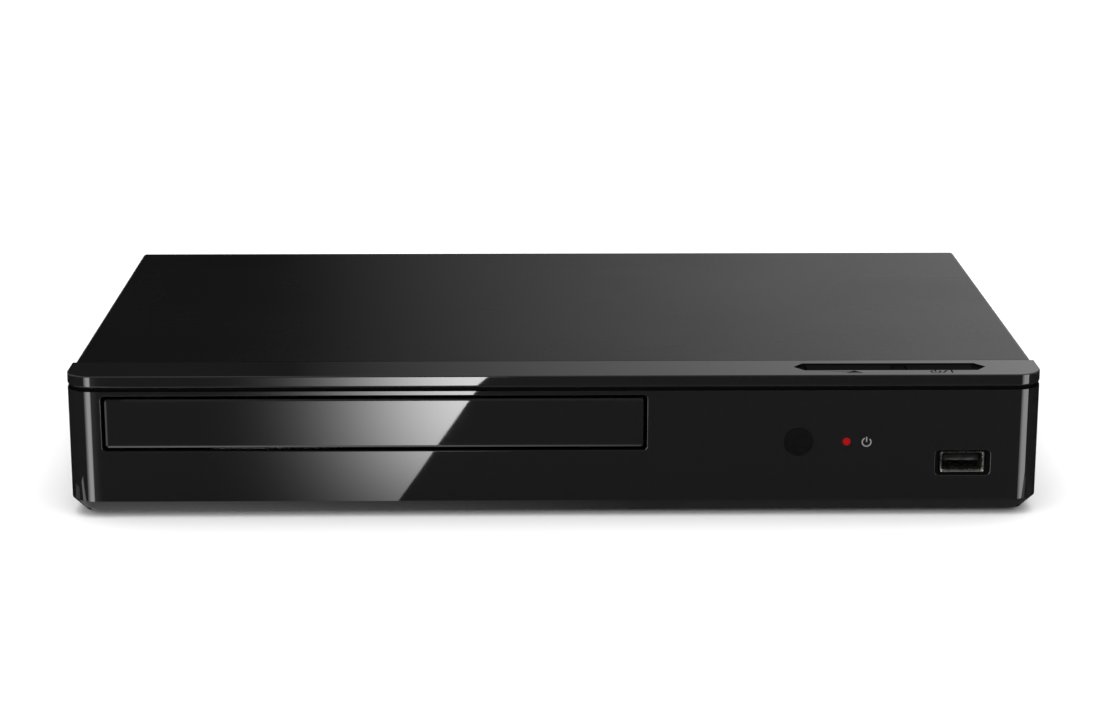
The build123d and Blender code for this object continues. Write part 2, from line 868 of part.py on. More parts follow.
# HDMI socket: steel shell with cut lower corners, and the insulator with its tongue
with BuildPart() as hdmi_shell:
    with BuildSketch(front_plane(socket_face_y)) as hdmi_tube:
        with Locations(hdmi_centre):
            Rectangle(hdmi_width, hdmi_height)
        chamfer(hdmi_tube.vertices().group_by(Axis.Y)[0], hdmi_cut)
        offset(amount=-shell_wall, mode=Mode.SUBTRACT)
    extrude(amount=hdmi_length)

with BuildPart() as hdmi_insert:
    with BuildSketch(front_plane(socket_face_y - hdmi_length + hdmi_back)) as hdmi_block:
        with Locations(hdmi_centre):
            Rectangle(hdmi_width, hdmi_height)
        chamfer(hdmi_block.vertices().group_by(Axis.Y)[0], hdmi_cut)
        offset(amount=-shell_wall, mode=Mode.INTERSECT)
    extrude(amount=hdmi_back)
    with BuildSketch(front_plane(socket_face_y - hdmi_tongue_drop)):
        with Locations(hdmi_centre):
            Rectangle(hdmi_width - 2 * hdmi_tongue_margin, hdmi_tongue)
    extrude(amount=hdmi_length - hdmi_back)

# Network socket: steel shell around a black insert with the plug well and its latch notch
with BuildPart() as lan_shell:
    with BuildSketch(front_plane(socket_face_y)):
        with Locations(lan_centre):
            Rectangle(lan_width, lan_height)
        offset(amount=-shell_wall, mode=Mode.SUBTRACT)
    extrude(amount=lan_length)

lan_well_z = lan_centre[1] + lan_well_lift
with BuildPart() as lan_insert:
    with BuildSketch(front_plane(socket_face_y - insert_drop)):
        with Locations(lan_centre):
            Rectangle(lan_width - 2 * shell_wall, lan_height - 2 * shell_wall)
    extrude(amount=lan_length - insert_drop)
    with BuildSketch(front_plane(socket_face_y - insert_drop)):
        with Locations((lan_x, lan_well_z)):
            Rectangle(lan_well_width, lan_well_height)
        with Locations((lan_x, lan_well_z - (lan_well_height + lan_latch_height) / 2)):
            Rectangle(lan_latch_width, lan_latch_height)
    extrude(amount=lan_well_depth, mode=Mode.SUBTRACT)


# Coaxial jack: plated barrel on a black body
def coax_round(y, radius, length, mode=Mode.ADD):
    """Cylinder on the jack's axis, from its rear end towards the front."""
    with BuildSketch(front_plane(y)) as face:
        with Locations((coax_x, coax_z)):
            Circle(radius)
    extrude(face.sketch, amount=length, mode=mode)


coax_insulator_y = coax_end_y - coax_insulator_drop
with BuildPart() as coax_barrel:
    coax_round(coax_end_y, coax_barrel_radius, coax_end_y - rear_face_y)
    coax_round(rear_face_y + coax_collar, coax_collar_radius, coax_collar)
    coax_round(rear_face_y, coax_neck_radius, rear_face_y - board_rear_y)
    coax_round(coax_end_y, coax_insulator_radius, coax_end_y - board_rear_y, mode=Mode.SUBTRACT)

with BuildPart() as coax_body:
    with BuildSketch(front_plane(board_rear_y)):
        with Locations((coax_x, board_top_z + coax_body_height / 2)):
            Rectangle(coax_body_width, coax_body_height)
    extrude(amount=coax_body_length)
    coax_round(coax_insulator_y, coax_insulator_radius - lens_gap, coax_insulator_y - board_rear_y)
    coax_round(coax_insulator_y, coax_bore_radius, coax_bore_depth, mode=Mode.SUBTRACT)

# Mains inlet: two-lobed well with two pins
inlet_face_y = rear_face_y + inlet_lip
inlet_floor_y = inlet_face_y - inlet_well
lobe_points = [(inlet_x - inlet_pitch / 2, inlet_z), (inlet_x + inlet_pitch / 2, inlet_z)]
with BuildPart() as ac_inlet:
    with BuildSketch(front_plane(inlet_face_y)):
        with Locations((inlet_x, inlet_z)):
            RectangleRounded(inlet_width, inlet_height, inlet_corner)
    extrude(amount=inlet_length)
    with BuildSketch(front_plane(rear_inner_y)):
        with Locations((inlet_x, inlet_z)):
            Rectangle(inlet_width + 2 * inlet_flange, inlet_height)
    extrude(amount=inlet_flange)
    with BuildSketch(front_plane(inlet_face_y)):
        with Locations(*lobe_points):
            Circle(inlet_lobe)
        with Locations((inlet_x, inlet_z)):
            Rectangle(inlet_pitch, inlet_waist)
    extrude(amount=inlet_well, mode=Mode.SUBTRACT)

with BuildPart() as inlet_pins:
    with BuildSketch(front_plane(inlet_floor_y + inlet_pin_length)):
        with Locations(*lobe_points):
            Circle(inlet_pin_radius)
    extrude(amount=inlet_pin_length)
    chamfer(inlet_pins.faces().group_by(Axis.Y)[-1].edges(), inlet_pin_tip)

# USB socket on the front board: steel shell and the insert with its tongue
usb_face_y = panel_inner_y + sheet_gap
with BuildPart() as usb_shell:
    with BuildSketch(front_plane(usb_face_y)):
        with Locations((usb_x, usb_z)):
            Rectangle(usb_shell_width, usb_shell_height)
        offset(amount=-usb_shell_wall, mode=Mode.SUBTRACT)
    extrude(amount=-usb_shell_length)

with BuildPart() as usb_insert:
    with BuildSketch(front_plane(usb_face_y + usb_shell_length - usb_back)):
        with Locations((usb_x, usb_z)):
            Rectangle(usb_shell_width - 2 * usb_shell_wall, usb_shell_height - 2 * usb_shell_wall)
    extrude(amount=-usb_back)
    with BuildSketch(front_plane(usb_face_y + usb_tongue_drop)):
        with Locations((usb_x, usb_z + usb_tongue / 2)):
            Rectangle(usb_shell_width - 2 * usb_tongue_margin, usb_tongue)
    extrude(amount=-(usb_shell_length - usb_back - usb_tongue_drop))

# Front board with the infrared receiver and the indicator diode standing on their legs
with BuildPart() as front_board:
    with BuildSketch(Plane.XY.offset(front_board_z)):
        with Locations(((front_board_x0 + front_board_x1) / 2, (front_board_y0 + front_board_y1) / 2)):
            Rectangle(front_board_x1 - front_board_x0, front_board_y1 - front_board_y0)
        with Locations(*front_holes):
            Circle(screw_radius + screw_hole, mode=Mode.SUBTRACT)
    extrude(amount=board)


def board_leg(x, y, z):
    """Square wire leg from the front board up to a part."""
    box_between(x - leg / 2, x + leg / 2, y - leg / 2, y + leg / 2, front_board_top_z, z)


receiver_y = panel_inner_y + lens_flange + receiver_gap
receiver_leg_top = ir_z - receiver_height / 2 + leg
with BuildPart() as ir_receiver:
    with BuildSketch(front_plane(receiver_y + receiver_depth)):
        with Locations((ir_x, ir_z)):
            Rectangle(receiver_width, receiver_height)
    extrude(amount=receiver_depth)
    with BuildSketch(front_plane(receiver_y)):
        with Locations((ir_x, ir_z)):
            Circle(receiver_width / 2 - leg)
    extrude(amount=receiver_dome, taper=receiver_dome_taper)
    for step in (-1, 0, 1):
        board_leg(ir_x + step * receiver_leg_pitch, receiver_y + receiver_depth / 2, receiver_leg_top)

diode_y = panel_inner_y + led_pipe_length + diode_gap
with BuildPart() as indicator_diode:
    with BuildSketch(front_plane(diode_y + diode_length)):
        with Locations((led_x, ir_z)):
            Circle(diode_radius)
    extrude(amount=diode_length)
    chamfer(indicator_diode.faces().sort_by(Axis.Y)[0].edges(), diode_dome)
    for step in (-1, 1):
        board_leg(led_x + step * diode_leg_pitch / 2, diode_y + diode_length - leg, ir_z)


# Main and power boards
def flat_board(x0, width, length, holes):
    """Board whose rear edge stands at the rear panel, with its screw holes."""
    with BuildSketch(Plane.XY.offset(board_z)) as plate:
        with Locations((x0 + width / 2, board_rear_y - length / 2)):
            Rectangle(width, length)
        with Locations(*holes):
            Circle(screw_radius + screw_hole, mode=Mode.SUBTRACT)
    extrude(plate.sketch, amount=board)


with BuildPart() as main_board:
    flat_board(main_board_x, main_board_width, main_board_length, main_holes)

with BuildPart() as power_board:
    flat_board(power_board_x, power_board_width, power_board_length, power_holes)

chip_x = main_board_x + main_board_width / 2
chip_y = board_rear_y - main_board_length / 2
with BuildPart() as main_chips:
    with BuildSketch(Plane.XY.offset(board_top_z)):
        with Locations((chip_x, chip_y)):
            Rectangle(chip_side, chip_side)
        with Locations((chip_x, chip_y - (chip_side + memory_length) / 2 - memory_gap)):
            with GridLocations(memory_pitch, 0, 2, 1):
                Rectangle(memory_width, memory_length)
    extrude(amount=chip_height)

with BuildPart() as chip_heat_sink:
    with BuildSketch(front_plane(chip_y + chip_side / 2)):
        with Locations((chip_x, board_top_z + chip_height + sink_base / 2)):
            Rectangle(chip_side, sink_base)
        with Locations((chip_x, board_top_z + chip_height + fin_height / 2)):
            with GridLocations((chip_side - fin_wall) / (fin_count - 1), 0, fin_count, 1):
                Rectangle(fin_wall, fin_height)
    extrude(amount=chip_side)

transformer_x = power_board_x + power_board_width / 2
transformer_y = board_rear_y - power_board_length / 2
with BuildPart() as transformer:
    with BuildSketch(front_plane(transformer_y + core_depth / 4)):
        with Locations((transformer_x, board_top_z + core_height / 2)):
            Rectangle(core_width, core_height)
            Rectangle(core_width - 2 * core_leg, core_height - 2 * core_leg, mode=Mode.SUBTRACT)
    extrude(amount=core_depth / 2)
    with BuildSketch(Plane.XY.offset(board_top_z + core_leg)):
        with Locations((transformer_x, transformer_y)):
            RectangleRounded(core_width - 2 * core_leg, core_depth, core_leg / 2)
    extrude(amount=core_height - 2 * core_leg)
    with BuildSketch(Plane.XY.offset(board_top_z)):
        with Locations((transformer_x, transformer_y)):
            Rectangle(core_width, core_depth)
    extrude(amount=core_base)

capacitor_points = [
    (power_board_x + rear_capacitor_inset, transformer_y + capacitor_spread),
    (power_board_x + power_board_width - front_capacitor_inset, transformer_y - capacitor_spread),
]
with BuildPart() as capacitors:
    cylinder_up(capacitor_points, capacitor_radius, board_top_z, board_top_z + capacitor_height)
    chamfer(capacitors.faces().filter_by(Plane.XY).group_by(Axis.Z)[-1].edges(), capacitor_round)

with BuildPart() as power_heat_sink:
    with BuildSketch(Plane.XY.offset(board_top_z)):
        with Locations((power_board_x + power_sink_inset, transformer_y - power_sink_ahead)):
            Rectangle(power_sink_width, fin_wall)
            with Locations((0, power_sink_depth / 2)):
                fin_pitch = (power_sink_width - fin_wall) / (power_sink_fins - 1)
                with GridLocations(fin_pitch, 0, power_sink_fins, 1):
                    Rectangle(fin_wall, power_sink_depth)
    extrude(amount=core_height)

# Sockets of the board-to-board cables, and the cables themselves
flex_x = front_board_x0 + flex_inset
flex_front_y = front_board_y1 - plug_front_inset
flex_rear_y = board_rear_y - main_board_length + plug_rear_inset
wire_x = main_board_x + main_board_width
wire_y = transformer_y - wire_ahead
with BuildPart() as cable_sockets:
    box_between(
        flex_x - plug_width / 2, flex_x + plug_width / 2, flex_front_y - plug_depth, flex_front_y,
        front_board_top_z, front_board_top_z + plug_height,
    )
    box_between(
        flex_x - plug_width / 2, flex_x + plug_width / 2, flex_rear_y, flex_rear_y + plug_depth,
        board_top_z, board_top_z + plug_height,
    )
    for plug_x in (wire_x - plug_depth, power_board_x):
        box_between(
            plug_x, plug_x + plug_depth, wire_y - plug_width / 2, wire_y + plug_width / 2,
            board_top_z, board_top_z + plug_height,
        )

flex_front_z = front_board_top_z + plug_height / 2
flex_rear_z = board_top_z + plug_height / 2
with BuildPart() as front_flex:
    with BuildSketch(side_plane(flex_x)):
        with BuildLine():
            Spline(
                (flex_front_y, flex_front_z),
                ((flex_front_y + flex_rear_y) / 2, (flex_front_z + flex_rear_z) / 2 + flex_arch),
                (flex_rear_y, flex_rear_z),
                tangents=[(1, 0), (1, 0)],
            )
        trace(line_width=flex)
    extrude(amount=plug_width / 2 - flex_margin, both=True)

with BuildPart() as supply_wires:
    with BuildSketch(side_plane(wire_x)):
        with Locations((wire_y, flex_rear_z)):
            with GridLocations(wire_pitch, 0, wire_count, 1):
                Circle(wire_radius)
    extrude(amount=power_board_x - wire_x)

# Places of the tray, the gear train and the rack
pocket_radius = disc_diameter / 2 + pocket_gap
disc_y = tray_front_y + tray_front_rim + pocket_radius
tray_rear_y = rear_inner_y - loader_rear_room - loader_wall - tray_end_gap
tray_rim_z = door_z + tray_over_door_centre
pocket_z = tray_rim_z - pocket_depth
tray_under_z = pocket_z - tray_floor
rail_z = tray_under_z - tray_rail_drop
deck_top_z = rail_z - deck_drop
gear_z = deck_top_z + gear_lift
tooth_pitch = pi * gear_module
rack_x = loader_x - tray_width / 2 + rack_inset
rack_root_x = rack_x - gear_module * gear_dedendum
rack_tip_x = rack_x + gear_module * gear_addendum
cam_plate_rear_y = disc_y - pin_ahead_of_spindle
cam_plate_front_y = cam_plate_rear_y - cam_plate
cam_flange_front_y = cam_plate_front_y - cam_flange
wheel_tip = gear_module * (tray_wheel_teeth / 2 + gear_addendum)
tray_gear_x = rack_x + gear_module * tray_pinion_teeth / 2
pulley_gear_x = tray_gear_x + gear_module * (tray_wheel_teeth + pulley_pinion_teeth) / 2
gear_y = cam_flange_front_y - gear_room - wheel_tip
rack_z = door_z - door_height / 2 - door_gap + rack_over_sill
rack_teeth = ceil(tray_travel / tooth_pitch) + 2 * rack_end_teeth
rack_start_y = gear_y - (rack_end_teeth - 1 / 2) * tooth_pitch

# Disc tray: pocket, spindle slot open to the rear, side rails and the drive rack
with BuildPart() as disc_tray:
    with BuildSketch(Plane.XY.offset(tray_under_z)) as tray_plan:
        with Locations((loader_x, (tray_front_y + tray_rear_y) / 2)):
            Rectangle(tray_width, tray_rear_y - tray_front_y)
        fillet(tray_plan.vertices().group_by(Axis.Y)[-1], tray_corner)
    extrude(amount=tray_rim_z - tray_under_z)
    # Side rails below the floor, and a front apron behind the door
    for side in (-1, 1):
        rail_x = sorted((side * tray_width / 2, side * (tray_width / 2 - tray_rail_width)))
        box_between(
            loader_x + rail_x[0], loader_x + rail_x[1], tray_front_y, tray_rear_y - tray_corner,
            rail_z, tray_under_z,
        )
    box_between(
        loader_x - tray_width / 2, loader_x + tray_width / 2, tray_front_y, tray_front_y + tray_apron,
        door_z - door_height / 2 + apron_margin, tray_under_z,
    )
    # Flared pocket for the large disc, a step for the small one, and finger notches at both sides
    with BuildSketch(Plane.XY.offset(tray_rim_z)):
        with Locations((loader_x, disc_y)):
            Circle(pocket_radius + pocket_flare)
    extrude(amount=-pocket_depth, taper=degrees(atan(pocket_flare / pocket_depth)), mode=Mode.SUBTRACT)
    cylinder_up(
        [(loader_x, disc_y)], small_pocket_radius, pocket_z - small_pocket_depth, pocket_z, mode=Mode.SUBTRACT
    )
    with BuildSketch(Plane.XY.offset(pocket_z)):
        with Locations((loader_x - pocket_radius, disc_y), (loader_x + pocket_radius, disc_y)):
            Rectangle(tray_rail_width, finger_notch)
    extrude(amount=pocket_depth, mode=Mode.SUBTRACT)
    # Slot for the turntable and the pickup, open to the rear
    with BuildSketch(Plane.XY.offset(rail_z)):
        with Locations((loader_x, disc_y)):
            Circle(tray_slot_width / 2)
        with Locations((loader_x, (disc_y + tray_rear_y) / 2)):
            Rectangle(tray_slot_width, tray_rear_y - disc_y)
    extrude(amount=tray_rim_z - rail_z, mode=Mode.SUBTRACT)
    # Rack beam and its teeth, which face the middle of the tray
    box_between(
        rack_root_x - rack_beam, rack_root_x, rack_start_y - tooth_pitch / 2,
        rack_start_y + (rack_teeth - 1 / 2) * tooth_pitch, rack_z, tray_under_z,
    )
    tooth_half = (tooth_pitch - gear_backlash) / 4
    half_root = tooth_half + gear_module * gear_dedendum * tan(radians(pressure_angle))
    half_tip = tooth_half - gear_module * gear_addendum * tan(radians(pressure_angle))
    with BuildSketch(Plane.XY.offset(rack_z)):
        for tooth in range(rack_teeth):
            tooth_y = rack_start_y + tooth * tooth_pitch
            with BuildLine():
                Polyline(
                    (rack_root_x - tooth_root, tooth_y - half_root),
                    (rack_root_x, tooth_y - half_root),
                    (rack_tip_x, tooth_y - half_tip),
                    (rack_tip_x, tooth_y + half_tip),
                    (rack_root_x, tooth_y + half_root),
                    (rack_root_x - tooth_root, tooth_y + half_root),
                    close=True,
                )
            make_face()
    extrude(amount=tray_under_z - rack_z)


# Gears
def gear_outline(teeth, phase):
    """Involute gear face on the current sketch, with one tooth turned to the phase angle."""
    pitch_radius = gear_module * teeth / 2
    base_radius = pitch_radius * cos(radians(pressure_angle))
    root_radius = pitch_radius - gear_module * gear_dedendum
    tip_radius = pitch_radius + gear_module * gear_addendum

    def half_angle(radius):
        """Half the tooth's angle at one radius, from the involute."""
        turn = acos(min(1, base_radius / radius))
        at_pitch = pi / (2 * teeth) - gear_backlash / (4 * pitch_radius)
        involute = tan(radians(pressure_angle)) - radians(pressure_angle)
        return at_pitch + involute - (tan(turn) - turn)

    start = max(base_radius, root_radius)
    steps = [start, (start + pitch_radius) / 2, pitch_radius, tip_radius]
    flank = [(root_radius - tooth_root, half_angle(start))]
    flank += [(radius, half_angle(radius)) for radius in steps]
    points = [(radius * cos(angle), -radius * sin(angle)) for radius, angle in flank]
    points += [(x, -y) for x, y in reversed(points)]
    with BuildSketch() as tooth:
        with BuildLine():
            Polyline(*points, close=True)
        make_face()
    Circle(root_radius)
    with PolarLocations(0, teeth, start_angle=phase):
        add(tooth.sketch)


tray_gear_point = [(tray_gear_x, gear_y)]
tray_pinion_top_z = rail_z - guide_gap
with BuildPart() as tray_gear:
    with BuildSketch(Plane((tray_gear_x, gear_y, gear_z))):
        gear_outline(tray_wheel_teeth, 0)
    extrude(amount=wheel_face)
    with BuildSketch(Plane((tray_gear_x, gear_y, gear_z + wheel_face))):
        gear_outline(tray_pinion_teeth, 0)
    extrude(amount=tray_pinion_top_z - gear_z - wheel_face)
    cylinder_up(tray_gear_point, axle_radius + running_gap, gear_z, tray_pinion_top_z, mode=Mode.SUBTRACT)

pulley_point = [(pulley_gear_x, gear_y)]
pulley_z = gear_z + wheel_face + pulley_over_wheel
pulley_top_z = pulley_z + pulley_height
pulley_rim = (pulley_height - belt_size - 2 * belt_gap) / 2


def grooved_pulley(point, flange_radius, groove_radius):
    """Flanged belt pulley on its plan point, added to the part that is being built."""
    cylinder_up(point, flange_radius, pulley_z, pulley_z + pulley_rim)
    cylinder_up(point, groove_radius, pulley_z, pulley_top_z)
    cylinder_up(point, flange_radius, pulley_top_z - pulley_rim, pulley_top_z)


with BuildPart() as pulley_gear:
    with BuildSketch(Plane((pulley_gear_x, gear_y, gear_z))):
        gear_outline(pulley_pinion_teeth, 180 / pulley_pinion_teeth)
    extrude(amount=pulley_z - gear_z)
    grooved_pulley(pulley_point, pulley_flange_radius, pulley_groove_radius)
    cylinder_up(pulley_point, axle_radius + running_gap, gear_z, pulley_top_z, mode=Mode.SUBTRACT)

# Loading motor under the deck, its pulley above, and the square belt
motor_x = pulley_gear_x + motor_spacing
motor_y = gear_y + motor_shift
motor_point = [(motor_x, motor_y)]
motor_top_z = deck_top_z - deck_thickness
motor_bore_z = motor_top_z - motor_height / 2
with BuildPart() as loading_motor:
    cylinder_up(motor_point, motor_radius, motor_top_z - motor_height, motor_top_z)
    chamfer(loading_motor.faces().sort_by(Axis.Z)[0].edges(), motor_round)
    cylinder_up(motor_point, motor_boss_radius, motor_top_z, motor_top_z + motor_boss_height)
    cylinder_up(
        motor_point, shaft_radius + running_gap, motor_bore_z, motor_top_z + motor_boss_height,
        mode=Mode.SUBTRACT,
    )

with BuildPart() as motor_pulley:
    cylinder_up(motor_point, shaft_radius, motor_bore_z + shaft_float, pulley_z)
    grooved_pulley(motor_point, motor_pulley_flange, motor_pulley_groove)

with BuildPart() as drive_belt:
    with BuildSketch(Plane.XY.offset(pulley_z + pulley_rim + belt_gap)):
        with Locations(*pulley_point):
            Circle(pulley_groove_radius + belt_gap + belt_size)
        with Locations(*motor_point):
            Circle(motor_pulley_groove + belt_gap + belt_size)
        make_hull()
        offset(amount=-belt_size, mode=Mode.SUBTRACT)
    extrude(amount=belt_size)

# Traverse places, in the level frame of the hinge line
hinge_y = tray_rear_y + tray_end_gap - hinge_inset
hinge_z = deck_top_z + hinge_over_deck
spindle_arm = hinge_y - disc_y
tilt = degrees(asin(spindle_lift / spindle_arm))
pin_arm = spindle_arm + pin_ahead_of_spindle + cam_plate / 2
pin_lift = pin_arm * sin(radians(tilt))
cam_travel = pin_lift / tan(radians(cam_angle))
seat_z = pocket_z + seat_over_pocket
seat_local = seat_z - hinge_z
plate_under = holder_top + damper_height
plate_top = plate_under + plate_sheet
traverse_plane = Plane(
    (loader_x, hinge_y, hinge_z), x_dir=(1, 0, 0), z_dir=(0, -sin(radians(tilt)), cos(radians(tilt)))
)


def traverse_box(x0, x1, y0, y1, z0, z1, mode=Mode.ADD):
    """Block in the tilted frame: x from the spindle line, y from the spindle, z from the hinge line."""
    with BuildSketch(traverse_plane.offset(z0)) as base:
        with Locations(((x0 + x1) / 2, (y0 + y1) / 2 - spindle_arm)):
            Rectangle(x1 - x0, y1 - y0)
    extrude(base.sketch, amount=z1 - z0, mode=mode)


def traverse_cylinder(points, radius, z0, z1, mode=Mode.ADD):
    """Cylinders along the spindle direction in the tilted frame."""
    with BuildSketch(traverse_plane.offset(z0)) as base:
        with Locations(*[(x, y - spindle_arm) for x, y in points]):
            Circle(radius)
    extrude(base.sketch, amount=z1 - z0, mode=mode)


def traverse_rod(points, radius, y0, y1, mode=Mode.ADD):
    """Cylinders along the pickup's way in the tilted frame, at points given as x and z."""
    start = traverse_plane.from_local_coords(Vector(0, y1 - spindle_arm, 0))
    along = Plane(start, x_dir=(1, 0, 0), z_dir=-traverse_plane.y_dir)
    with BuildSketch(along) as base:
        with Locations(*points):
            Circle(radius)
    extrude(base.sketch, amount=y1 - y0, mode=mode)


# Loader frame: ribbed walls, deck with the traverse window, guides, axles, hinge ears and lugs
loader_inner = loader_half - loader_wall
loader_front_y = tray_front_y + tray_apron + tray_end_gap
loader_rear_y = tray_rear_y + tray_end_gap
rib_pitch = (loader_rear_y - loader_front_y - 2 * rib_end_inset) / (rib_count - 1)
wall_top_z = tray_rim_z + bridge_lift
guide_top_z = rail_z - guide_gap
hold_down_z = tray_rim_z + guide_gap
window_front_y = cam_plate_front_y - window_gap
window_rear_y = hinge_y + window_rear_room
ear_inner = holder_half + ear_gap
hook_front_y = cam_flange_front_y - ear_gap - hook_wall
hook_under_z = deck_top_z + cam_plate + 2 * ear_gap
hook_top_z = hook_under_z + hook_wall
axle_points = tray_gear_point + pulley_point
with BuildPart() as loader_frame:
    for side in (-1, 1):
        wall = sorted((loader_x + side * loader_half, loader_x + side * loader_inner))
        box_between(*wall, loader_front_y, loader_rear_y + loader_wall, board_z, wall_top_z)
        guide = sorted((loader_x + side * loader_inner, loader_x + side * (loader_inner - guide_width)))
        box_between(*guide, loader_front_y, loader_rear_y, guide_top_z - guide_height, guide_top_z)
        for tab_y in (loader_front_y, disc_y - hold_down_length, disc_y + hold_down_spread):
            box_between(*guide, tab_y, tab_y + hold_down_length, hold_down_z, hold_down_z + guide_height)
        ear = sorted((loader_x + side * ear_inner, loader_x + side * (ear_inner + ear_wall)))
        box_between(
            *ear, hinge_y - ear_half, hinge_y + ear_half,
            deck_top_z - deck_thickness, hinge_z + hinge_radius + ear_rim,
        )
        for lug_y in (lug_front_y, lug_rear_y):
            lug = sorted((loader_x + side * loader_inner, loader_x + side * (loader_half + lug_reach)))
            box_between(*lug, lug_y - lug_half, lug_y + lug_half, board_z, board_z + deck_thickness)
    with BuildSketch(Plane.XY.offset(board_z + deck_thickness)):
        with Locations((loader_x, (loader_front_y + loader_rear_y) / 2)):
            with GridLocations(2 * loader_half + rib_proud, rib_pitch, 2, rib_count):
                Rectangle(rib_proud, rib_width)
    extrude(amount=wall_top_z - board_z - deck_thickness)
    box_between(
        loader_x - loader_half, loader_x + loader_half, loader_rear_y, loader_rear_y + loader_wall,
        board_z, guide_top_z,
    )
    with BuildSketch(Plane.XY.offset(deck_top_z - deck_thickness)):
        with Locations((loader_x, (loader_front_y + loader_rear_y) / 2)):
            Rectangle(loader_half + loader_inner, loader_rear_y - loader_front_y + loader_wall)
        with Locations((loader_x, (window_front_y + window_rear_y) / 2)):
            Rectangle(2 * ear_inner, window_rear_y - window_front_y, mode=Mode.SUBTRACT)
        with Locations(*motor_point):
            Circle(motor_boss_radius + motor_boss_gap, mode=Mode.SUBTRACT)
    extrude(amount=deck_thickness)
    # Axles of the two gears, and hooks that guide the cam slider
    cylinder_up(axle_points, axle_radius, deck_top_z, tray_pinion_top_z)
    cylinder_up(axle_points, axle_radius + washer_width, deck_top_z, gear_z - washer_gap)
    for hook_x in (loader_x - hook_left, loader_x + hook_right):
        box_between(
            hook_x, hook_x + hook_width, hook_front_y, hook_front_y + hook_wall, deck_top_z, hook_top_z
        )
        box_between(
            hook_x, hook_x + hook_width, hook_front_y, cam_flange_front_y + hook_reach,
            hook_under_z, hook_top_z,
        )
    # Holes of the hinge ears and the lugs
    with BuildSketch(side_plane(loader_x - loader_inner)):
        with Locations((hinge_y, hinge_z)):
            Circle(hinge_radius + running_gap)
    extrude(amount=2 * loader_inner, mode=Mode.SUBTRACT)
    cylinder_up(lug_points, screw_radius + screw_hole, board_z, board_z + deck_thickness, mode=Mode.SUBTRACT)

# Clamp bridge over the tray, and the clamper that hangs in it
spindle_point = [(loader_x, disc_y)]
bridge_top_z = wall_top_z + bridge_thickness
with BuildPart() as clamp_bridge:
    with BuildSketch(Plane.XY.offset(wall_top_z)):
        with Locations(*spindle_point):
            Rectangle(2 * loader_half, bridge_width)
            Circle(bridge_hole, mode=Mode.SUBTRACT)
            with GridLocations(2 * (loader_half - bridge_slot_inset), 0, 2, 1):
                SlotOverall(bridge_slot_length, bridge_slot_width, mode=Mode.SUBTRACT)
    extrude(amount=bridge_thickness)
    with BuildSketch(Plane.XY.offset(bridge_top_z)):
        with Locations(*spindle_point):
            with GridLocations(0, bridge_width - bridge_thickness, 1, 2):
                Rectangle(2 * loader_half, bridge_thickness)
    extrude(amount=bridge_rib)

clamper_under_z = seat_z + clamper_over_seat
clamper_cap_z = bridge_top_z + clamper_float
clamper_top_z = clamper_cap_z + clamper_rim
with BuildPart() as clamper:
    cylinder_up(spindle_point, clamper_flange, clamper_under_z, clamper_under_z + clamper_rim)
    cylinder_up(spindle_point, clamper_hub, clamper_under_z, clamper_cap_z)
    cylinder_up(spindle_point, clamper_flange + clamper_cap_over, clamper_cap_z, clamper_top_z)
    cylinder_up(
        spindle_point, cone_radius + cone_gap, clamper_under_z, clamper_under_z + clamper_well,
        mode=Mode.SUBTRACT,
    )

with BuildPart() as clamper_magnet:
    cylinder_up(spindle_point, magnet_radius, clamper_top_z, clamper_top_z + magnet_height)

# Cam slider: a flange on the deck and an upright plate with two inclined slots
slot_half = cam_pin_radius + cam_slot_gap
slot_run = pin_lift / sin(radians(cam_angle)) + 2 * slot_half + 2 * cam_slot_gap
with BuildPart() as cam_slider:
    box_between(
        loader_x - slider_half, loader_x + slider_half, cam_plate_front_y, cam_plate_rear_y,
        hinge_z - pin_lift - slot_half - slot_wall, hinge_z + slot_half + slot_wall,
    )
    box_between(
        loader_x - slider_half, loader_x + slider_half, cam_flange_front_y, cam_plate_front_y,
        deck_top_z + guide_gap, deck_top_z + guide_gap + cam_plate,
    )
    with BuildSketch(front_plane(cam_plate_front_y)):
        for side in (-1, 1):
            with Locations((loader_x + side * cam_pin_x - cam_travel / 2, hinge_z - pin_lift / 2)):
                SlotOverall(slot_run, 2 * slot_half, rotation=-cam_angle)
    extrude(amount=-cam_plate, mode=Mode.SUBTRACT)

# Traverse holder: hinged plastic frame with the cam pins, which end inside the cam plate
holder_inner = holder_half - holder_bar
holder_front = -pin_ahead_of_spindle + holder_gap
holder_rear = spindle_arm + holder_tail
cam_pin_front = -pin_ahead_of_spindle - cam_plate + cam_pin_short
with BuildPart() as traverse_holder:
    traverse_box(-holder_half, holder_half, holder_front, holder_rear, holder_under, holder_top)
    traverse_box(
        -holder_inner, holder_inner, holder_front + holder_front_bar, spindle_arm - hinge_bar,
        holder_under, holder_top, mode=Mode.SUBTRACT,
    )
    cam_pins = [(-cam_pin_x, 0), (cam_pin_x, 0)]
    traverse_rod(cam_pins, cam_pin_radius, cam_pin_front, holder_front + cam_pin_root)
    with BuildSketch(Plane((loader_x, hinge_y, hinge_z), x_dir=(0, 1, 0), z_dir=(1, 0, 0))):
        Circle(hinge_radius)
    extrude(amount=ear_inner + ear_wall - ear_gap, both=True)
    # Between the side bars the hinge pin is trimmed flush with the frame
    for trim_z in (holder_top, holder_under - hinge_radius):
        traverse_box(
            -holder_inner, holder_inner, spindle_arm - hinge_bar, spindle_arm + hinge_bar,
            trim_z, trim_z + hinge_radius, mode=Mode.SUBTRACT,
        )

# Rubber dampers between the holder and the plate
damper_x = holder_half - holder_bar / 2 - damper_inset
damper_points = []
for side in (-1, 1):
    for damper_y in (-damper_ahead, spindle_arm - damper_ahead):
        damper_points.append((side * damper_x, damper_y))
with BuildPart() as damper_bushes:
    traverse_cylinder(damper_points, damper_radius, holder_top, plate_under)

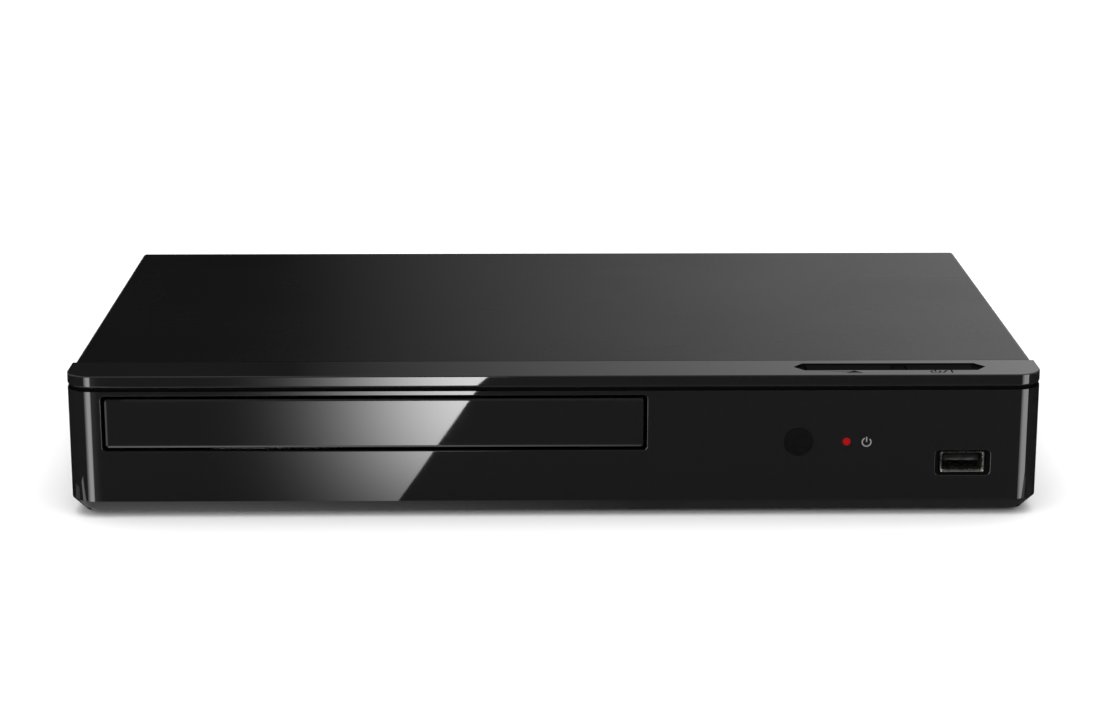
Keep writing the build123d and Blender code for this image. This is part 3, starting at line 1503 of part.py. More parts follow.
# Traverse plate: steel plate with the pickup window, rod posts and lead screw tabs
plate_half = holder_half - plate_margin
rod_z = plate_top + rod_lift
rod_rear = spindle_arm - plate_rear
rod_points = [(-rod_x, rod_z), (rod_x, rod_z)]
screw_z = plate_top - lead_drop
lead_point = [(screw_x, screw_z)]
tab_front = rod_front + tab_setback
window_half = rod_x + window_past_rod
window_right = screw_x + sled_motor_radius + sled_motor_gap
sled_motor_front = tab_front - sled_motor_length
with BuildPart() as traverse_plate:
    traverse_box(-plate_half, plate_half, -plate_front, rod_rear, plate_under, plate_top)
    traverse_box(
        -window_half, window_half, rod_front + post_length, rod_rear - post_length,
        plate_under, plate_top, mode=Mode.SUBTRACT,
    )
    traverse_box(
        window_half - window_overlap, window_right, sled_motor_front - sled_motor_gap, rod_rear - post_length,
        plate_under, plate_top, mode=Mode.SUBTRACT,
    )
    traverse_cylinder([(0, 0)], spindle_hole, plate_under, plate_top, mode=Mode.SUBTRACT)
    for post_y in (rod_front, rod_rear - post_length):
        for side in (-1, 1):
            traverse_box(
                side * rod_x - post_half, side * rod_x + post_half, post_y, post_y + post_length,
                plate_under, rod_z + rod_radius + post_rim,
            )
    for tab_y in (tab_front, rod_rear - post_length):
        traverse_box(
            window_half - window_overlap, window_right + sled_motor_gap, tab_y, tab_y + tab_sheet,
            plate_under, plate_top,
        )
        traverse_box(
            screw_x - sled_motor_radius, screw_x + sled_motor_radius, tab_y, tab_y + tab_sheet,
            screw_z - sled_motor_radius, screw_z + sled_motor_radius - tab_trim,
        )
    traverse_rod(rod_points, rod_radius + running_gap, rod_front, rod_rear, mode=Mode.SUBTRACT)
    traverse_rod(lead_point, lead_radius + running_gap, tab_front, rod_rear, mode=Mode.SUBTRACT)

with BuildPart() as guide_rods:
    traverse_rod(rod_points, rod_radius, rod_front, rod_rear)

sled_bore_front = tab_front - sled_motor_length / 2
with BuildPart() as sled_motor:
    traverse_rod(lead_point, sled_motor_radius, sled_motor_front, tab_front)
    traverse_rod(lead_point, lead_radius + running_gap, sled_bore_front, tab_front, mode=Mode.SUBTRACT)

with BuildPart() as lead_screw:
    traverse_rod(lead_point, lead_radius, sled_bore_front + shaft_float, rod_rear - shaft_float)

# Spindle motor under the plate, and the turntable on its shaft
stator_under = plate_under - stator_height
bell_under = plate_top + bell_gap
bell_top = bell_under + bell_height
with BuildPart() as spindle_motor:
    traverse_cylinder([(0, 0)], stator_radius, stator_under, plate_under)
    traverse_cylinder([(0, 0)], spindle_hole - stator_boss_gap, plate_under, plate_top)
    traverse_cylinder(
        [(0, 0)], spindle_radius + running_gap, stator_under + spindle_floor, plate_top, mode=Mode.SUBTRACT
    )

with BuildPart() as turntable:
    traverse_cylinder([(0, 0)], spindle_radius, stator_under + spindle_floor + shaft_float, bell_under)
    traverse_cylinder([(0, 0)], bell_radius, bell_under, bell_top)
    traverse_cylinder([(0, 0)], bell_radius - bell_step, bell_top, seat_local - turntable_sheet)
    traverse_cylinder([(0, 0)], turntable_radius, seat_local - turntable_sheet, seat_local)
    with BuildSketch(traverse_plane.offset(seat_local)):
        with Locations((0, -spindle_arm)):
            Circle(cone_radius)
    extrude(amount=cone_height, taper=cone_taper)

# Pickup: sled body on the rods, follower round the lead screw, and the lens on top
pickup_front = pickup_rest_radius - pickup_ahead
pickup_rear = pickup_rest_radius + pickup_behind
pickup_half = rod_x + pickup_past_rod
pickup_top = seat_local - lens_under_disc - lens_rise
follower_rear = pickup_rest_radius + follower_length
with BuildPart() as pickup_body:
    traverse_box(
        -pickup_half, pickup_half, pickup_front, pickup_rear, rod_z - pickup_below_rod, pickup_top
    )
    for shoulder in ((-pickup_half, -rod_x + post_half), (rod_x - post_half, pickup_half)):
        traverse_box(
            *shoulder, pickup_front + pickup_notch, pickup_rear - pickup_notch,
            rod_z + rod_radius + pickup_roof, pickup_top, mode=Mode.SUBTRACT,
        )
    traverse_box(
        pickup_half, screw_x + lead_radius + follower_wall, pickup_rest_radius, follower_rear,
        screw_z - lead_radius - follower_wall, screw_z + lead_radius + follower_wall,
    )
    traverse_rod(rod_points, rod_radius + running_gap, pickup_front, pickup_rear, mode=Mode.SUBTRACT)
    traverse_rod(lead_point, lead_radius + lead_gap, pickup_rest_radius, follower_rear, mode=Mode.SUBTRACT)

with BuildPart() as objective_lens:
    traverse_cylinder([(0, pickup_rest_radius)], lens_radius, pickup_top, pickup_top + lens_rise)
    chamfer(objective_lens.faces().sort_by(Axis.Z)[-1].edges(), lens_round)


# Screws: pan heads with plain shanks, grouped by what they hold
def screws_down(points, seat, grip):
    """Screws from above: head on the seat and shank through what they hold."""
    cylinder_up(points, screw_head_radius, seat, seat + screw_head_height)
    cylinder_up(points, screw_radius - thread_depth, seat - grip - screw_grip, seat)


with BuildPart() as board_screws:
    screws_down(main_holes + power_holes, board_top_z, board)
    screws_down(front_holes, front_board_top_z, board)
    # The button board hangs from its bosses, so its screws go upwards
    cylinder_up(boss_points, screw_head_radius, button_board_z - screw_head_height, button_board_z)
    cylinder_up(boss_points, screw_radius - thread_depth, button_board_z, button_board_top_z + screw_grip)

with BuildPart() as loader_screws:
    screws_down(lug_points, board_z + deck_thickness, deck_thickness)

with BuildPart() as cover_screws:
    for side in (-1, 1):
        skirt = Plane((side * cover_outer_x, 0, 0), x_dir=(0, side, 0), z_dir=(side, 0, 0))
        skirt_points = [(side * y, z) for y, z in skirt_screw_points]
        for radius, length in ((screw_head_radius, cover_set_in), (screw_radius, -cover_screw_length)):
            with BuildSketch(skirt):
                with Locations(*skirt_points):
                    Circle(radius)
            extrude(amount=length)
    for radius, length in ((screw_head_radius, -screw_head_height), (screw_radius, cover_screw_length)):
        with BuildSketch(front_plane(cover_rear_y)):
            with Locations(*flange_screw_points):
                Circle(radius)
        extrude(amount=length)

pieces = {
    "front_panel": front_panel,
    "tray_door": tray_door,
    "ir_window": ir_window,
    "led_lens": led_lens,
    "open_close_button": open_close_button,
    "power_button": power_button,
    "button_board": button_board,
    "tact_switches": tact_switches,
    "top_cover": top_cover,
    "chassis_base": chassis_base,
    "feet": feet,
    "rear_panel": rear_panel,
    "hdmi_shell": hdmi_shell,
    "hdmi_insert": hdmi_insert,
    "lan_shell": lan_shell,
    "lan_insert": lan_insert,
    "coax_barrel": coax_barrel,
    "coax_body": coax_body,
    "ac_inlet": ac_inlet,
    "inlet_pins": inlet_pins,
    "usb_shell": usb_shell,
    "usb_insert": usb_insert,
    "front_board": front_board,
    "ir_receiver": ir_receiver,
    "indicator_diode": indicator_diode,
    "main_board": main_board,
    "power_board": power_board,
    "main_chips": main_chips,
    "chip_heat_sink": chip_heat_sink,
    "transformer": transformer,
    "capacitors": capacitors,
    "power_heat_sink": power_heat_sink,
    "cable_sockets": cable_sockets,
    "front_flex": front_flex,
    "supply_wires": supply_wires,
    "disc_tray": disc_tray,
    "tray_gear": tray_gear,
    "pulley_gear": pulley_gear,
    "loading_motor": loading_motor,
    "motor_pulley": motor_pulley,
    "drive_belt": drive_belt,
    "loader_frame": loader_frame,
    "clamp_bridge": clamp_bridge,
    "clamper": clamper,
    "clamper_magnet": clamper_magnet,
    "cam_slider": cam_slider,
    "traverse_holder": traverse_holder,
    "damper_bushes": damper_bushes,
    "traverse_plate": traverse_plate,
    "guide_rods": guide_rods,
    "sled_motor": sled_motor,
    "lead_screw": lead_screw,
    "spindle_motor": spindle_motor,
    "turntable": turntable,
    "pickup_body": pickup_body,
    "objective_lens": objective_lens,
    "board_screws": board_screws,
    "loader_screws": loader_screws,
    "cover_screws": cover_screws,
}
for name, piece in pieces.items():
    piece.part.label = name
    export_step(piece.part, f"parts/{name}.step")
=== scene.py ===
import json
from math import atan2, pi, radians

import bpy
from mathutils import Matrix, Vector


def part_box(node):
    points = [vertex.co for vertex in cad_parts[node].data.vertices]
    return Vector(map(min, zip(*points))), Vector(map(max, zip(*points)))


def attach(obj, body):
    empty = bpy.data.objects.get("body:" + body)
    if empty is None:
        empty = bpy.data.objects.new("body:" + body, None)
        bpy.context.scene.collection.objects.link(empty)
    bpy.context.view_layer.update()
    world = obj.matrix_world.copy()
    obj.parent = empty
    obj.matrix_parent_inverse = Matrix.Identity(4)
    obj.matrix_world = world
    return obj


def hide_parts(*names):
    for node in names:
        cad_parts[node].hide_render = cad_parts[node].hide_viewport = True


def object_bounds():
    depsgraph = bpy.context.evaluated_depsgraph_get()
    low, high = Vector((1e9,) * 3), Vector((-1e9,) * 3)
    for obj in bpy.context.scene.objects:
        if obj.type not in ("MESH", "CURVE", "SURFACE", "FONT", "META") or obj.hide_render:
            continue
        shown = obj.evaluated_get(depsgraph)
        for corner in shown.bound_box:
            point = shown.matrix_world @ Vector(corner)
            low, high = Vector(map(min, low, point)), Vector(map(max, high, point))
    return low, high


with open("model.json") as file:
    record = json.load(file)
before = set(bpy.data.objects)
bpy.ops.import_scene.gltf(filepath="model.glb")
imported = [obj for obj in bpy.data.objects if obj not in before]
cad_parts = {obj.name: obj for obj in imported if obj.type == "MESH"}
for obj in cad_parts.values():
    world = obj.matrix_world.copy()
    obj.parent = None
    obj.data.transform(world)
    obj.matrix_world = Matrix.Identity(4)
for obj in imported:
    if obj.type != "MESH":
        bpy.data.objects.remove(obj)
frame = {"nodes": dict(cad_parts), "record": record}
cad_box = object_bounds()

# Chassis base, clamp bridge and traverse plate: parts pressed from zinc-coated sheet steel.
# The floor has bent-up edges and beads, and posts that carry the boards.
# The bridge lies across the tray with a rib along each edge, the plate carries spindle and pickup.
MM = 0.001
MERGE_GAP = 0.001 * MM
FLAT_ANGLE = radians(0.3)
# Sockets of a Mix node that mixes colours
SHARE, COLOUR_A, COLOUR_B, MIXED = 0, 6, 7, 2


def linear(hex_colour):
    """Turns an sRGB hex colour into the linear values that a shader takes."""
    values = [int(hex_colour[i:i + 2], 16) / 255 for i in (1, 3, 5)]
    return [v / 12.92 if v <= 0.04045 else ((v + 0.055) / 1.055) ** 2.4 for v in values] + [1.0]


def per_metre(size_mm):
    """Texture scale at which one feature of the pattern is this many millimetres across."""
    return 1000 / size_mm


def set_sockets(material, node, sockets):
    """Gives a node's inputs their values, or links them where the value is another node's output."""
    for name, value in sockets.items():
        if isinstance(value, bpy.types.NodeSocket):
            material.node_tree.links.new(value, node.inputs[name])
        else:
            node.inputs[name].default_value = value


def add_node(material, kind, sockets, **settings):
    """Adds a shader node with its settings and links."""
    node = material.node_tree.nodes.new(f"ShaderNode{kind}")
    for name, value in settings.items():
        setattr(node, name, value)
    set_sockets(material, node, sockets)
    return node


def start_material(name):
    """New node material with its shader and the Object coordinates that its patterns read."""
    material = bpy.data.materials.new(name)
    material.use_nodes = True
    shader = material.node_tree.nodes["Principled BSDF"]
    place = add_node(material, "TexCoord", {}).outputs["Object"]
    return material, shader, place


body_of = {
    node: body for body, nodes in frame["record"]["behaviour"]["bodies"].items() for node in nodes
}


def select_only(piece):
    """Makes a piece the only selected one, because operators act on all that is selected."""
    bpy.ops.object.select_all(action="DESELECT")
    piece.select_set(True)
    bpy.context.view_layer.objects.active = piece


def edit(piece):
    """Opens one piece in edit mode with nothing selected in it."""
    select_only(piece)
    bpy.ops.object.mode_set(mode="EDIT")
    bpy.ops.mesh.select_all(action="DESELECT")


def own_copy(piece):
    """Copy of a piece with a mesh of its own."""
    copy = piece.copy()
    copy.data = piece.data.copy()
    bpy.context.collection.objects.link(copy)
    return copy


def coat(piece, *materials):
    """Gives a piece these materials in place of any others."""
    piece.data.materials.clear()
    for material in materials:
        piece.data.materials.append(material)


def merged_copy(name):
    """Copy of a CAD node with its triangles joined to whole faces, which rides and shows in its stead."""
    piece = own_copy(frame["nodes"][name])
    piece.name = f"{name}_finished"
    edit(piece)
    bpy.ops.mesh.select_all(action="SELECT")
    bpy.ops.mesh.remove_doubles(threshold=MERGE_GAP)
    bpy.ops.mesh.dissolve_limited(angle_limit=FLAT_ANGLE)
    bpy.ops.object.mode_set(mode="OBJECT")
    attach(piece, body_of[name])
    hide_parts(name)
    return piece


def apply_modifier(piece, kind, **settings):
    """Adds one modifier to a piece and applies it."""
    select_only(piece)
    modifier = piece.modifiers.new(kind.lower(), kind)
    for name, value in settings.items():
        setattr(modifier, name, value)
    bpy.ops.object.modifier_apply(modifier=modifier.name)


def round_off(piece, steepest):
    """Shades a piece as rounded up to the steepest edge, with its flat faces kept flat."""
    select_only(piece)
    bpy.ops.object.shade_smooth_by_angle(angle=radians(steepest))
    apply_modifier(piece, "WEIGHTED_NORMAL", keep_sharp=True, weight=100)


def finish(material, *names, steepest=40.0):
    """Gives curved CAD nodes a rounded copy in this material."""
    for name in names:
        piece = merged_copy(name)
        coat(piece, material)
        round_off(piece, steepest)


# Galvanised sheet: flat zinc crystals, each with its own tone and gloss, over faint rolling lines
zinc_sheet, shader, place = start_material("zinc_coated_sheet_steel")
spangle = add_node(zinc_sheet, "TexVoronoi", {"Vector": place, "Scale": per_metre(5.0)})
tone = add_node(zinc_sheet, "SeparateColor", {"Color": spangle.outputs["Color"]})
colour = add_node(
    zinc_sheet, "Mix",
    {SHARE: tone.outputs["Red"], COLOUR_A: linear("#a9adb0"), COLOUR_B: linear("#c3c6c8")},
    data_type="RGBA",
)
gloss = add_node(zinc_sheet, "MapRange", {"Value": tone.outputs["Green"], "To Min": 0.3, "To Max": 0.46})
stretched = add_node(zinc_sheet, "Mapping", {"Vector": place, "Scale": (1.0, 0.03, 1.0)})
rolling = add_node(zinc_sheet, "TexNoise", {"Vector": stretched.outputs[0], "Scale": per_metre(0.8)})
grain = add_node(
    zinc_sheet, "Bump", {"Height": rolling.outputs[0], "Strength": 0.25, "Distance": 0.02 * MM}
)
set_sockets(zinc_sheet, shader, {
    "Base Color": colour.outputs[MIXED],
    "Roughness": gloss.outputs[0],
    "Metallic": 1.0,
    "Normal": grain.outputs[0],
})
finish(zinc_sheet, "chassis_base", "clamp_bridge", "traverse_plate")

# Feet, traverse dampers and drive belt: moulded black rubber.
# The feet are pegged into the floor, the dampers carry the traverse plate, the belt runs on pulleys.
# Rubber: dull and slightly grey, with the pitting of an etched mould
black_rubber, shader, place = start_material("moulded_black_rubber")
pits = add_node(black_rubber, "TexNoise", {"Vector": place, "Scale": per_metre(0.7), "Detail": 6.0})
bloom = add_node(black_rubber, "TexNoise", {"Vector": place, "Scale": per_metre(9.0)})
colour = add_node(
    black_rubber, "Mix",
    {SHARE: bloom.outputs[0], COLOUR_A: linear("#131314"), COLOUR_B: linear("#1f1f20")},
    data_type="RGBA",
)
pitting = add_node(
    black_rubber, "Bump", {"Height": pits.outputs[0], "Strength": 0.5, "Distance": 0.06 * MM}
)
set_sockets(black_rubber, shader, {
    "Base Color": colour.outputs[MIXED],
    "Roughness": 0.78,
    "IOR": 1.52,
    "Normal": pitting.outputs[0],
})
finish(black_rubber, "feet", "damper_bushes", "drive_belt")


# Main, power, front and button boards: glass-fibre laminate under green solder resist.
# They stand on the chassis posts, and the button board hangs from bosses under the lip.
def dress(material, *names):
    """Puts a material on CAD nodes whose shape stays, in place of the plain one that they came with."""
    for name in names:
        coat(frame["nodes"][name], material)


# Solder resist: half-gloss green, lighter over the copper tracks, with tinned pads
green_board, shader, place = start_material("green_solder_resist_board")
tracks = add_node(
    green_board, "TexVoronoi", {"Vector": place, "Scale": per_metre(3.2)},
    feature="DISTANCE_TO_EDGE", distance="EUCLIDEAN",
)
track_mask = add_node(
    green_board, "MapRange",
    {"Value": tracks.outputs["Distance"], "From Min": 0.07, "From Max": 0.09, "To Min": 1.0, "To Max": 0.0},
)
pads = add_node(
    green_board, "TexVoronoi", {"Vector": place, "Scale": per_metre(4.4), "Randomness": 0.6}
)
pad_mask = add_node(
    green_board, "MapRange",
    {"Value": pads.outputs["Distance"], "From Min": 0.13, "From Max": 0.15, "To Min": 1.0, "To Max": 0.0},
)
resist = add_node(
    green_board, "Mix",
    {SHARE: track_mask.outputs[0], COLOUR_A: linear("#1c4a2a"), COLOUR_B: linear("#2f6b3a")},
    data_type="RGBA",
)
colour = add_node(
    green_board, "Mix",
    {SHARE: pad_mask.outputs[0], COLOUR_A: resist.outputs[MIXED], COLOUR_B: linear("#bdbdb6")},
    data_type="RGBA",
)
set_sockets(green_board, shader, {
    "Base Color": colour.outputs[MIXED],
    "Metallic": pad_mask.outputs[0],
    "Roughness": 0.36,
})
dress(green_board, "main_board", "power_board", "front_board", "button_board")

# Chips: the processor and two memories in transfer-moulded epoxy packages.
# They are soldered flat to the main board.
# Moulded epoxy: matt charcoal with the mould's sparked grain, drawn coarser than it is so that it shows
moulded_epoxy, shader, place = start_material("moulded_epoxy_package")
speckle = add_node(moulded_epoxy, "TexNoise", {"Vector": place, "Scale": per_metre(0.4), "Detail": 4.0})
colour = add_node(
    moulded_epoxy, "Mix",
    {SHARE: speckle.outputs[0], COLOUR_A: linear("#1c1c1e"), COLOUR_B: linear("#303032")},
    data_type="RGBA",
)
sparks = add_node(
    moulded_epoxy, "Bump", {"Height": speckle.outputs[0], "Strength": 0.4, "Distance": 0.02 * MM}
)
set_sockets(moulded_epoxy, shader, {
    "Base Color": colour.outputs[MIXED],
    "Roughness": 0.62,
    "Normal": sparks.outputs[0],
})
dress(moulded_epoxy, "main_chips")

# Heat sinks: cut lengths of a finned aluminium extrusion.
# One lies on the processor, the other stands on the power board.
# Extruded aluminium: bright, with lines from the die, which stretch along the depth of the case
extruded_aluminium, shader, place = start_material("extruded_aluminium")
drawn = add_node(extruded_aluminium, "Mapping", {"Vector": place, "Scale": (1.0, 0.02, 1.0)})
lines = add_node(
    extruded_aluminium, "TexNoise",
    {"Vector": drawn.outputs[0], "Scale": per_metre(0.5), "Detail": 5.0},
)
gloss = add_node(
    extruded_aluminium, "MapRange", {"Value": lines.outputs[0], "To Min": 0.26, "To Max": 0.44}
)
die_lines = add_node(
    extruded_aluminium, "Bump", {"Height": lines.outputs[0], "Strength": 0.3, "Distance": 0.02 * MM}
)
set_sockets(extruded_aluminium, shader, {
    "Base Color": linear("#d3d5d6"),
    "Roughness": gloss.outputs[0],
    "Metallic": 1.0,
    "Normal": die_lines.outputs[0],
})
dress(extruded_aluminium, "chip_heat_sink", "power_heat_sink")

# Transformer: a ferrite ring core round a winding that is wrapped in yellow polyester tape.
# Its base stands on the power board, and the winding bulges out of the core at front and back.
# Ferrite is dull dark grey and sintered, the tape a half-gloss yellow with lapped turns
low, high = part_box("transformer")
taped_from = (high.y - low.y) / 4 + 0.1 * MM
ferrite_core, shader, place = start_material("ferrite_and_polyester_tape")
centred = add_node(ferrite_core, "Mapping", {"Vector": place, "Location": -(low + high) / 2})
axes = add_node(ferrite_core, "SeparateXYZ", {0: centred.outputs[0]})
out_of_core = add_node(ferrite_core, "Math", {0: axes.outputs["Y"]}, operation="ABSOLUTE")
taped = add_node(
    ferrite_core, "Math", {0: out_of_core.outputs[0], 1: taped_from}, operation="GREATER_THAN"
)
sinter = add_node(ferrite_core, "TexNoise", {"Vector": place, "Scale": per_metre(0.9), "Detail": 5.0})
ferrite = add_node(
    ferrite_core, "Mix",
    {SHARE: sinter.outputs[0], COLOUR_A: linear("#2b2b2d"), COLOUR_B: linear("#47474a")},
    data_type="RGBA",
)
# A wave repeats after pi / 10 of the size that per_metre is given, so these laps are 6.3 mm apart
laps = add_node(
    ferrite_core, "TexWave", {"Vector": place, "Scale": per_metre(20.0), "Distortion": 0.4},
    bands_direction="Z",
)
tape = add_node(
    ferrite_core, "Mix",
    {SHARE: laps.outputs[1], COLOUR_A: linear("#c69a20"), COLOUR_B: linear("#dfb640")},
    data_type="RGBA",
)
colour = add_node(
    ferrite_core, "Mix",
    {SHARE: taped.outputs[0], COLOUR_A: ferrite.outputs[MIXED], COLOUR_B: tape.outputs[MIXED]},
    data_type="RGBA",
)
gloss = add_node(ferrite_core, "MapRange", {"Value": taped.outputs[0], "To Min": 0.72, "To Max": 0.36})
set_sockets(ferrite_core, shader, {"Base Color": colour.outputs[MIXED], "Roughness": gloss.outputs[0]})
dress(ferrite_core, "transformer")

# Capacitors: two drawn aluminium cans in a shrunk plastic sleeve, with a bare top.
# They are soldered to the power board beside the transformer.
# Sleeve: glossy blue-black film with paler stripes, one every 19 mm
BARE_TOP = 0.2
low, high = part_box("capacitors")
capacitor_skin, shader, place = start_material("shrunk_sleeve_on_aluminium_can")
axes = add_node(capacitor_skin, "SeparateXYZ", {0: place})
bare_top = add_node(
    capacitor_skin, "Math", {0: axes.outputs["Z"], 1: high.z - BARE_TOP * MM}, operation="GREATER_THAN"
)
stripes = add_node(
    capacitor_skin, "TexWave", {"Vector": place, "Scale": per_metre(60.0), "Distortion": 0.0},
    bands_direction="X",
)
stripe_mask = add_node(
    capacitor_skin, "MapRange", {"Value": stripes.outputs[1], "From Min": 0.9, "From Max": 0.92}
)
sleeve = add_node(
    capacitor_skin, "Mix",
    {SHARE: stripe_mask.outputs[0], COLOUR_A: linear("#14182c"), COLOUR_B: linear("#8f97a8")},
    data_type="RGBA",
)
colour = add_node(
    capacitor_skin, "Mix",
    {SHARE: bare_top.outputs[0], COLOUR_A: sleeve.outputs[MIXED], COLOUR_B: linear("#d0d2d4")},
    data_type="RGBA",
)
set_sockets(capacitor_skin, shader, {
    "Base Color": colour.outputs[MIXED],
    "Metallic": bare_top.outputs[0],
    "Roughness": 0.28,
})
finish(capacitor_skin, "capacitors")


# Cable sockets: nylon housings on the boards, moulded in the natural colour.
# They are soldered down, and the ends of the cables are pushed into them.
def mottled(name, dark, light, sockets, patch_mm, detail=2.0):
    """Material whose colour drifts between two tones, in patches of this size."""
    material, shader, place = start_material(name)
    patches = add_node(
        material, "TexNoise", {"Vector": place, "Scale": per_metre(patch_mm), "Detail": detail}
    )
    colour = add_node(
        material, "Mix",
        {SHARE: patches.outputs[0], COLOUR_A: linear(dark), COLOUR_B: linear(light)},
        data_type="RGBA",
    )
    set_sockets(material, shader, {"Base Color": colour.outputs[MIXED], **sockets})
    return material


# Nylon: creamy white and a little translucent
natural_nylon = mottled("natural_nylon", "#d9d3c2", "#e9e4d6", {
    "Roughness": 0.42,
    "Subsurface Weight": 0.15,
    "Subsurface Radius": (1.0 * MM, 0.9 * MM, 0.7 * MM),
}, patch_mm=3.0)
dress(natural_nylon, "cable_sockets")

# Cables: a flat flexible cable between front and main board, and six supply wires in coloured PVC.
# The wires run from the main to the power board, and the sockets hold both kinds at their ends.
# Flat cable: white film with the copper under it as broad grey bands, 6.3 mm apart
flat_cable, shader, place = start_material("flat_flexible_cable_film")
strips = add_node(
    flat_cable, "TexWave", {"Vector": place, "Scale": per_metre(20.0), "Distortion": 0.0},
    bands_direction="X",
)
colour = add_node(
    flat_cable, "Mix",
    {SHARE: strips.outputs[1], COLOUR_A: linear("#b9bbbd"), COLOUR_B: linear("#e8e8e6")},
    data_type="RGBA",
)
set_sockets(flat_cable, shader, {"Base Color": colour.outputs[MIXED], "Roughness": 0.34})
finish(flat_cable, "front_flex")

# Extruded PVC: half-gloss, each wire in its own colour
low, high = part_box("supply_wires")
wire_pvc, shader, place = start_material("extruded_wire_pvc")
axes = add_node(wire_pvc, "SeparateXYZ", {0: place})
across = add_node(
    wire_pvc, "MapRange", {"Value": axes.outputs["Y"], "From Min": low.y, "From Max": high.y}
)
wire_colours = add_node(wire_pvc, "ValToRGB", {0: across.outputs[0]})
ramp = wire_colours.color_ramp
ramp.interpolation = "CONSTANT"
hues = ("#1b1b1c", "#a31d1d", "#c9962a", "#1b1b1c", "#d8d8d4", "#2d5f9e")
ramp.elements[0].color = linear(hues[0])
ramp.elements[1].position = 1 / len(hues)
ramp.elements[1].color = linear(hues[1])
for step in range(2, len(hues)):
    ramp.elements.new(step / len(hues)).color = linear(hues[step])
set_sockets(wire_pvc, shader, {"Base Color": wire_colours.outputs[0], "Roughness": 0.38})
finish(wire_pvc, "supply_wires")


# Socket shells, coaxial barrel and inlet pins: drawn brass and steel under nickel plate.
# The shells are folded round their inserts, the barrel is turned, the pins stand in the inlet's well.
def patchy_metal(name, colour, glossy, dull, patch_mm, detail=6.0):
    """Bare metal of one colour, whose roughness drifts between two values in patches of this size."""
    metal, shader, place = start_material(name)
    patches = add_node(
        metal, "TexNoise", {"Vector": place, "Scale": per_metre(patch_mm), "Detail": detail}
    )
    gloss = add_node(metal, "MapRange", {"Value": patches.outputs[0], "To Min": glossy, "To Max": dull})
    set_sockets(metal, shader, {
        "Base Color": linear(colour),
        "Roughness": gloss.outputs[0],
        "Metallic": 1.0,
    })
    return metal


# Nickel plate: warm bright metal, duller in small patches
nickel_plate = patchy_metal("nickel_plate", "#cccac4", glossy=0.16, dull=0.36, patch_mm=1.6)
finish(nickel_plate, "hdmi_shell", "lan_shell", "coax_barrel", "inlet_pins")

# USB socket shell: steel strip folded to a box, with its front edges rolled outward to lead the plug in.
# It has the nickel plate of the other shells and is soldered to the front board.
# The rolled edge stands in the panel's mouth.
USB_CORNER = 0.7
USB_WALL = 0.35
USB_LIP_STEP = 0.35
USB_LIP_SPREADS = ((1.01, 1.03), (1.03, 1.07), (1.05, 1.11))
FACING = 0.9


def block(low, high):
    """Block between two corners in millimetres, as a start."""
    bpy.ops.object.select_all(action="DESELECT")
    bpy.ops.mesh.primitive_cube_add(
        size=1.0,
        location=[(a + b) / 2 * MM for a, b in zip(low, high)],
        scale=[(b - a) * MM for a, b in zip(low, high)],
    )
    bpy.ops.object.transform_apply(location=True, rotation=False, scale=True)
    return bpy.context.object


def pick(piece, mode, wanted):
    """Selects the vertices, edges or faces of an opened piece that a test wants."""
    bpy.ops.mesh.select_mode(type=mode)
    bpy.ops.mesh.select_all(action="DESELECT")
    bpy.ops.object.mode_set(mode="OBJECT")
    items = {"VERT": piece.data.vertices, "EDGE": piece.data.edges, "FACE": piece.data.polygons}[mode]
    for item in items:
        item.select = wanted(item)
    bpy.ops.object.mode_set(mode="EDIT")


def stand_for(piece, material, name):
    """Gives a new piece its material, and lets it ride and show in the stead of a CAD node."""
    coat(piece, material)
    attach(piece, body_of[name])
    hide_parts(name)


low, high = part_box("usb_shell")
usb_centre = (low + high) / 2
usb_shell = block(low / MM, high / MM)
edit(usb_shell)
corners = usb_shell.data.vertices
pick(usb_shell, "EDGE", lambda edge: abs(
    corners[edge.vertices[0]].co.y - corners[edge.vertices[1]].co.y
) > 1 * MM)
bpy.ops.mesh.bevel(offset=USB_CORNER * MM, segments=4, affect="EDGES")
pick(usb_shell, "FACE", lambda face: face.normal.y < -FACING)
for wide, tall in USB_LIP_SPREADS:
    bpy.ops.mesh.extrude_region_move(TRANSFORM_OT_translate={"value": (0, -USB_LIP_STEP * MM, 0)})
    bpy.ops.transform.resize(value=(wide, 1.0, tall), center_override=usb_centre)
bpy.ops.mesh.delete(type="FACE")
bpy.ops.object.mode_set(mode="OBJECT")
apply_modifier(usb_shell, "SOLIDIFY", thickness=USB_WALL * MM, offset=-1.0)
usb_shell.name = "usb_shell_rolled"
stand_for(usb_shell, nickel_plate, "usb_shell")
round_off(usb_shell, 40.0)

# Socket contacts: strips of spring bronze under gold flash, in the video, network and USB sockets.
# They are stamped and stand in the inserts in rows, and in the network socket they slope up.
# Gold flash: warm yellow mirror, a little uneven where it is thin
gold_flash = mottled("gold_flashed_bronze", "#c79a45", "#dcb765", {
    "Roughness": 0.24,
    "Metallic": 1.0,
}, patch_mm=1.2, detail=4.0)
CONTACT_EDGE = 0.05
# Half width of a contact, its two ends from the insert's mouth, its bottom and top, and its rise.
# The video socket's tongue has a row on each face, whose heights are given from the tongue's middle.
VIDEO_HALF, VIDEO_ENDS = 0.25, (6.3, 0.3)
VIDEO_MIDDLE, VIDEO_FACE, VIDEO_OUTSIDE, VIDEO_PITCH = 13.7, 0.85, 1.0, 1.0
NETWORK_HALF, NETWORK_ENDS, NETWORK_HEIGHTS = 0.2, (10.5, 0.8), (18.4, 18.75)
NETWORK_RISE, NETWORK_PITCH, NETWORK_COUNT = 2.6, 1.02, 8
USB_HALF, USB_ENDS, USB_HEIGHTS = 0.5, (0.3, 9.5), (17.58, 17.75)
USB_SPOTS = (-3.5, -1.0, 1.0, 3.5)


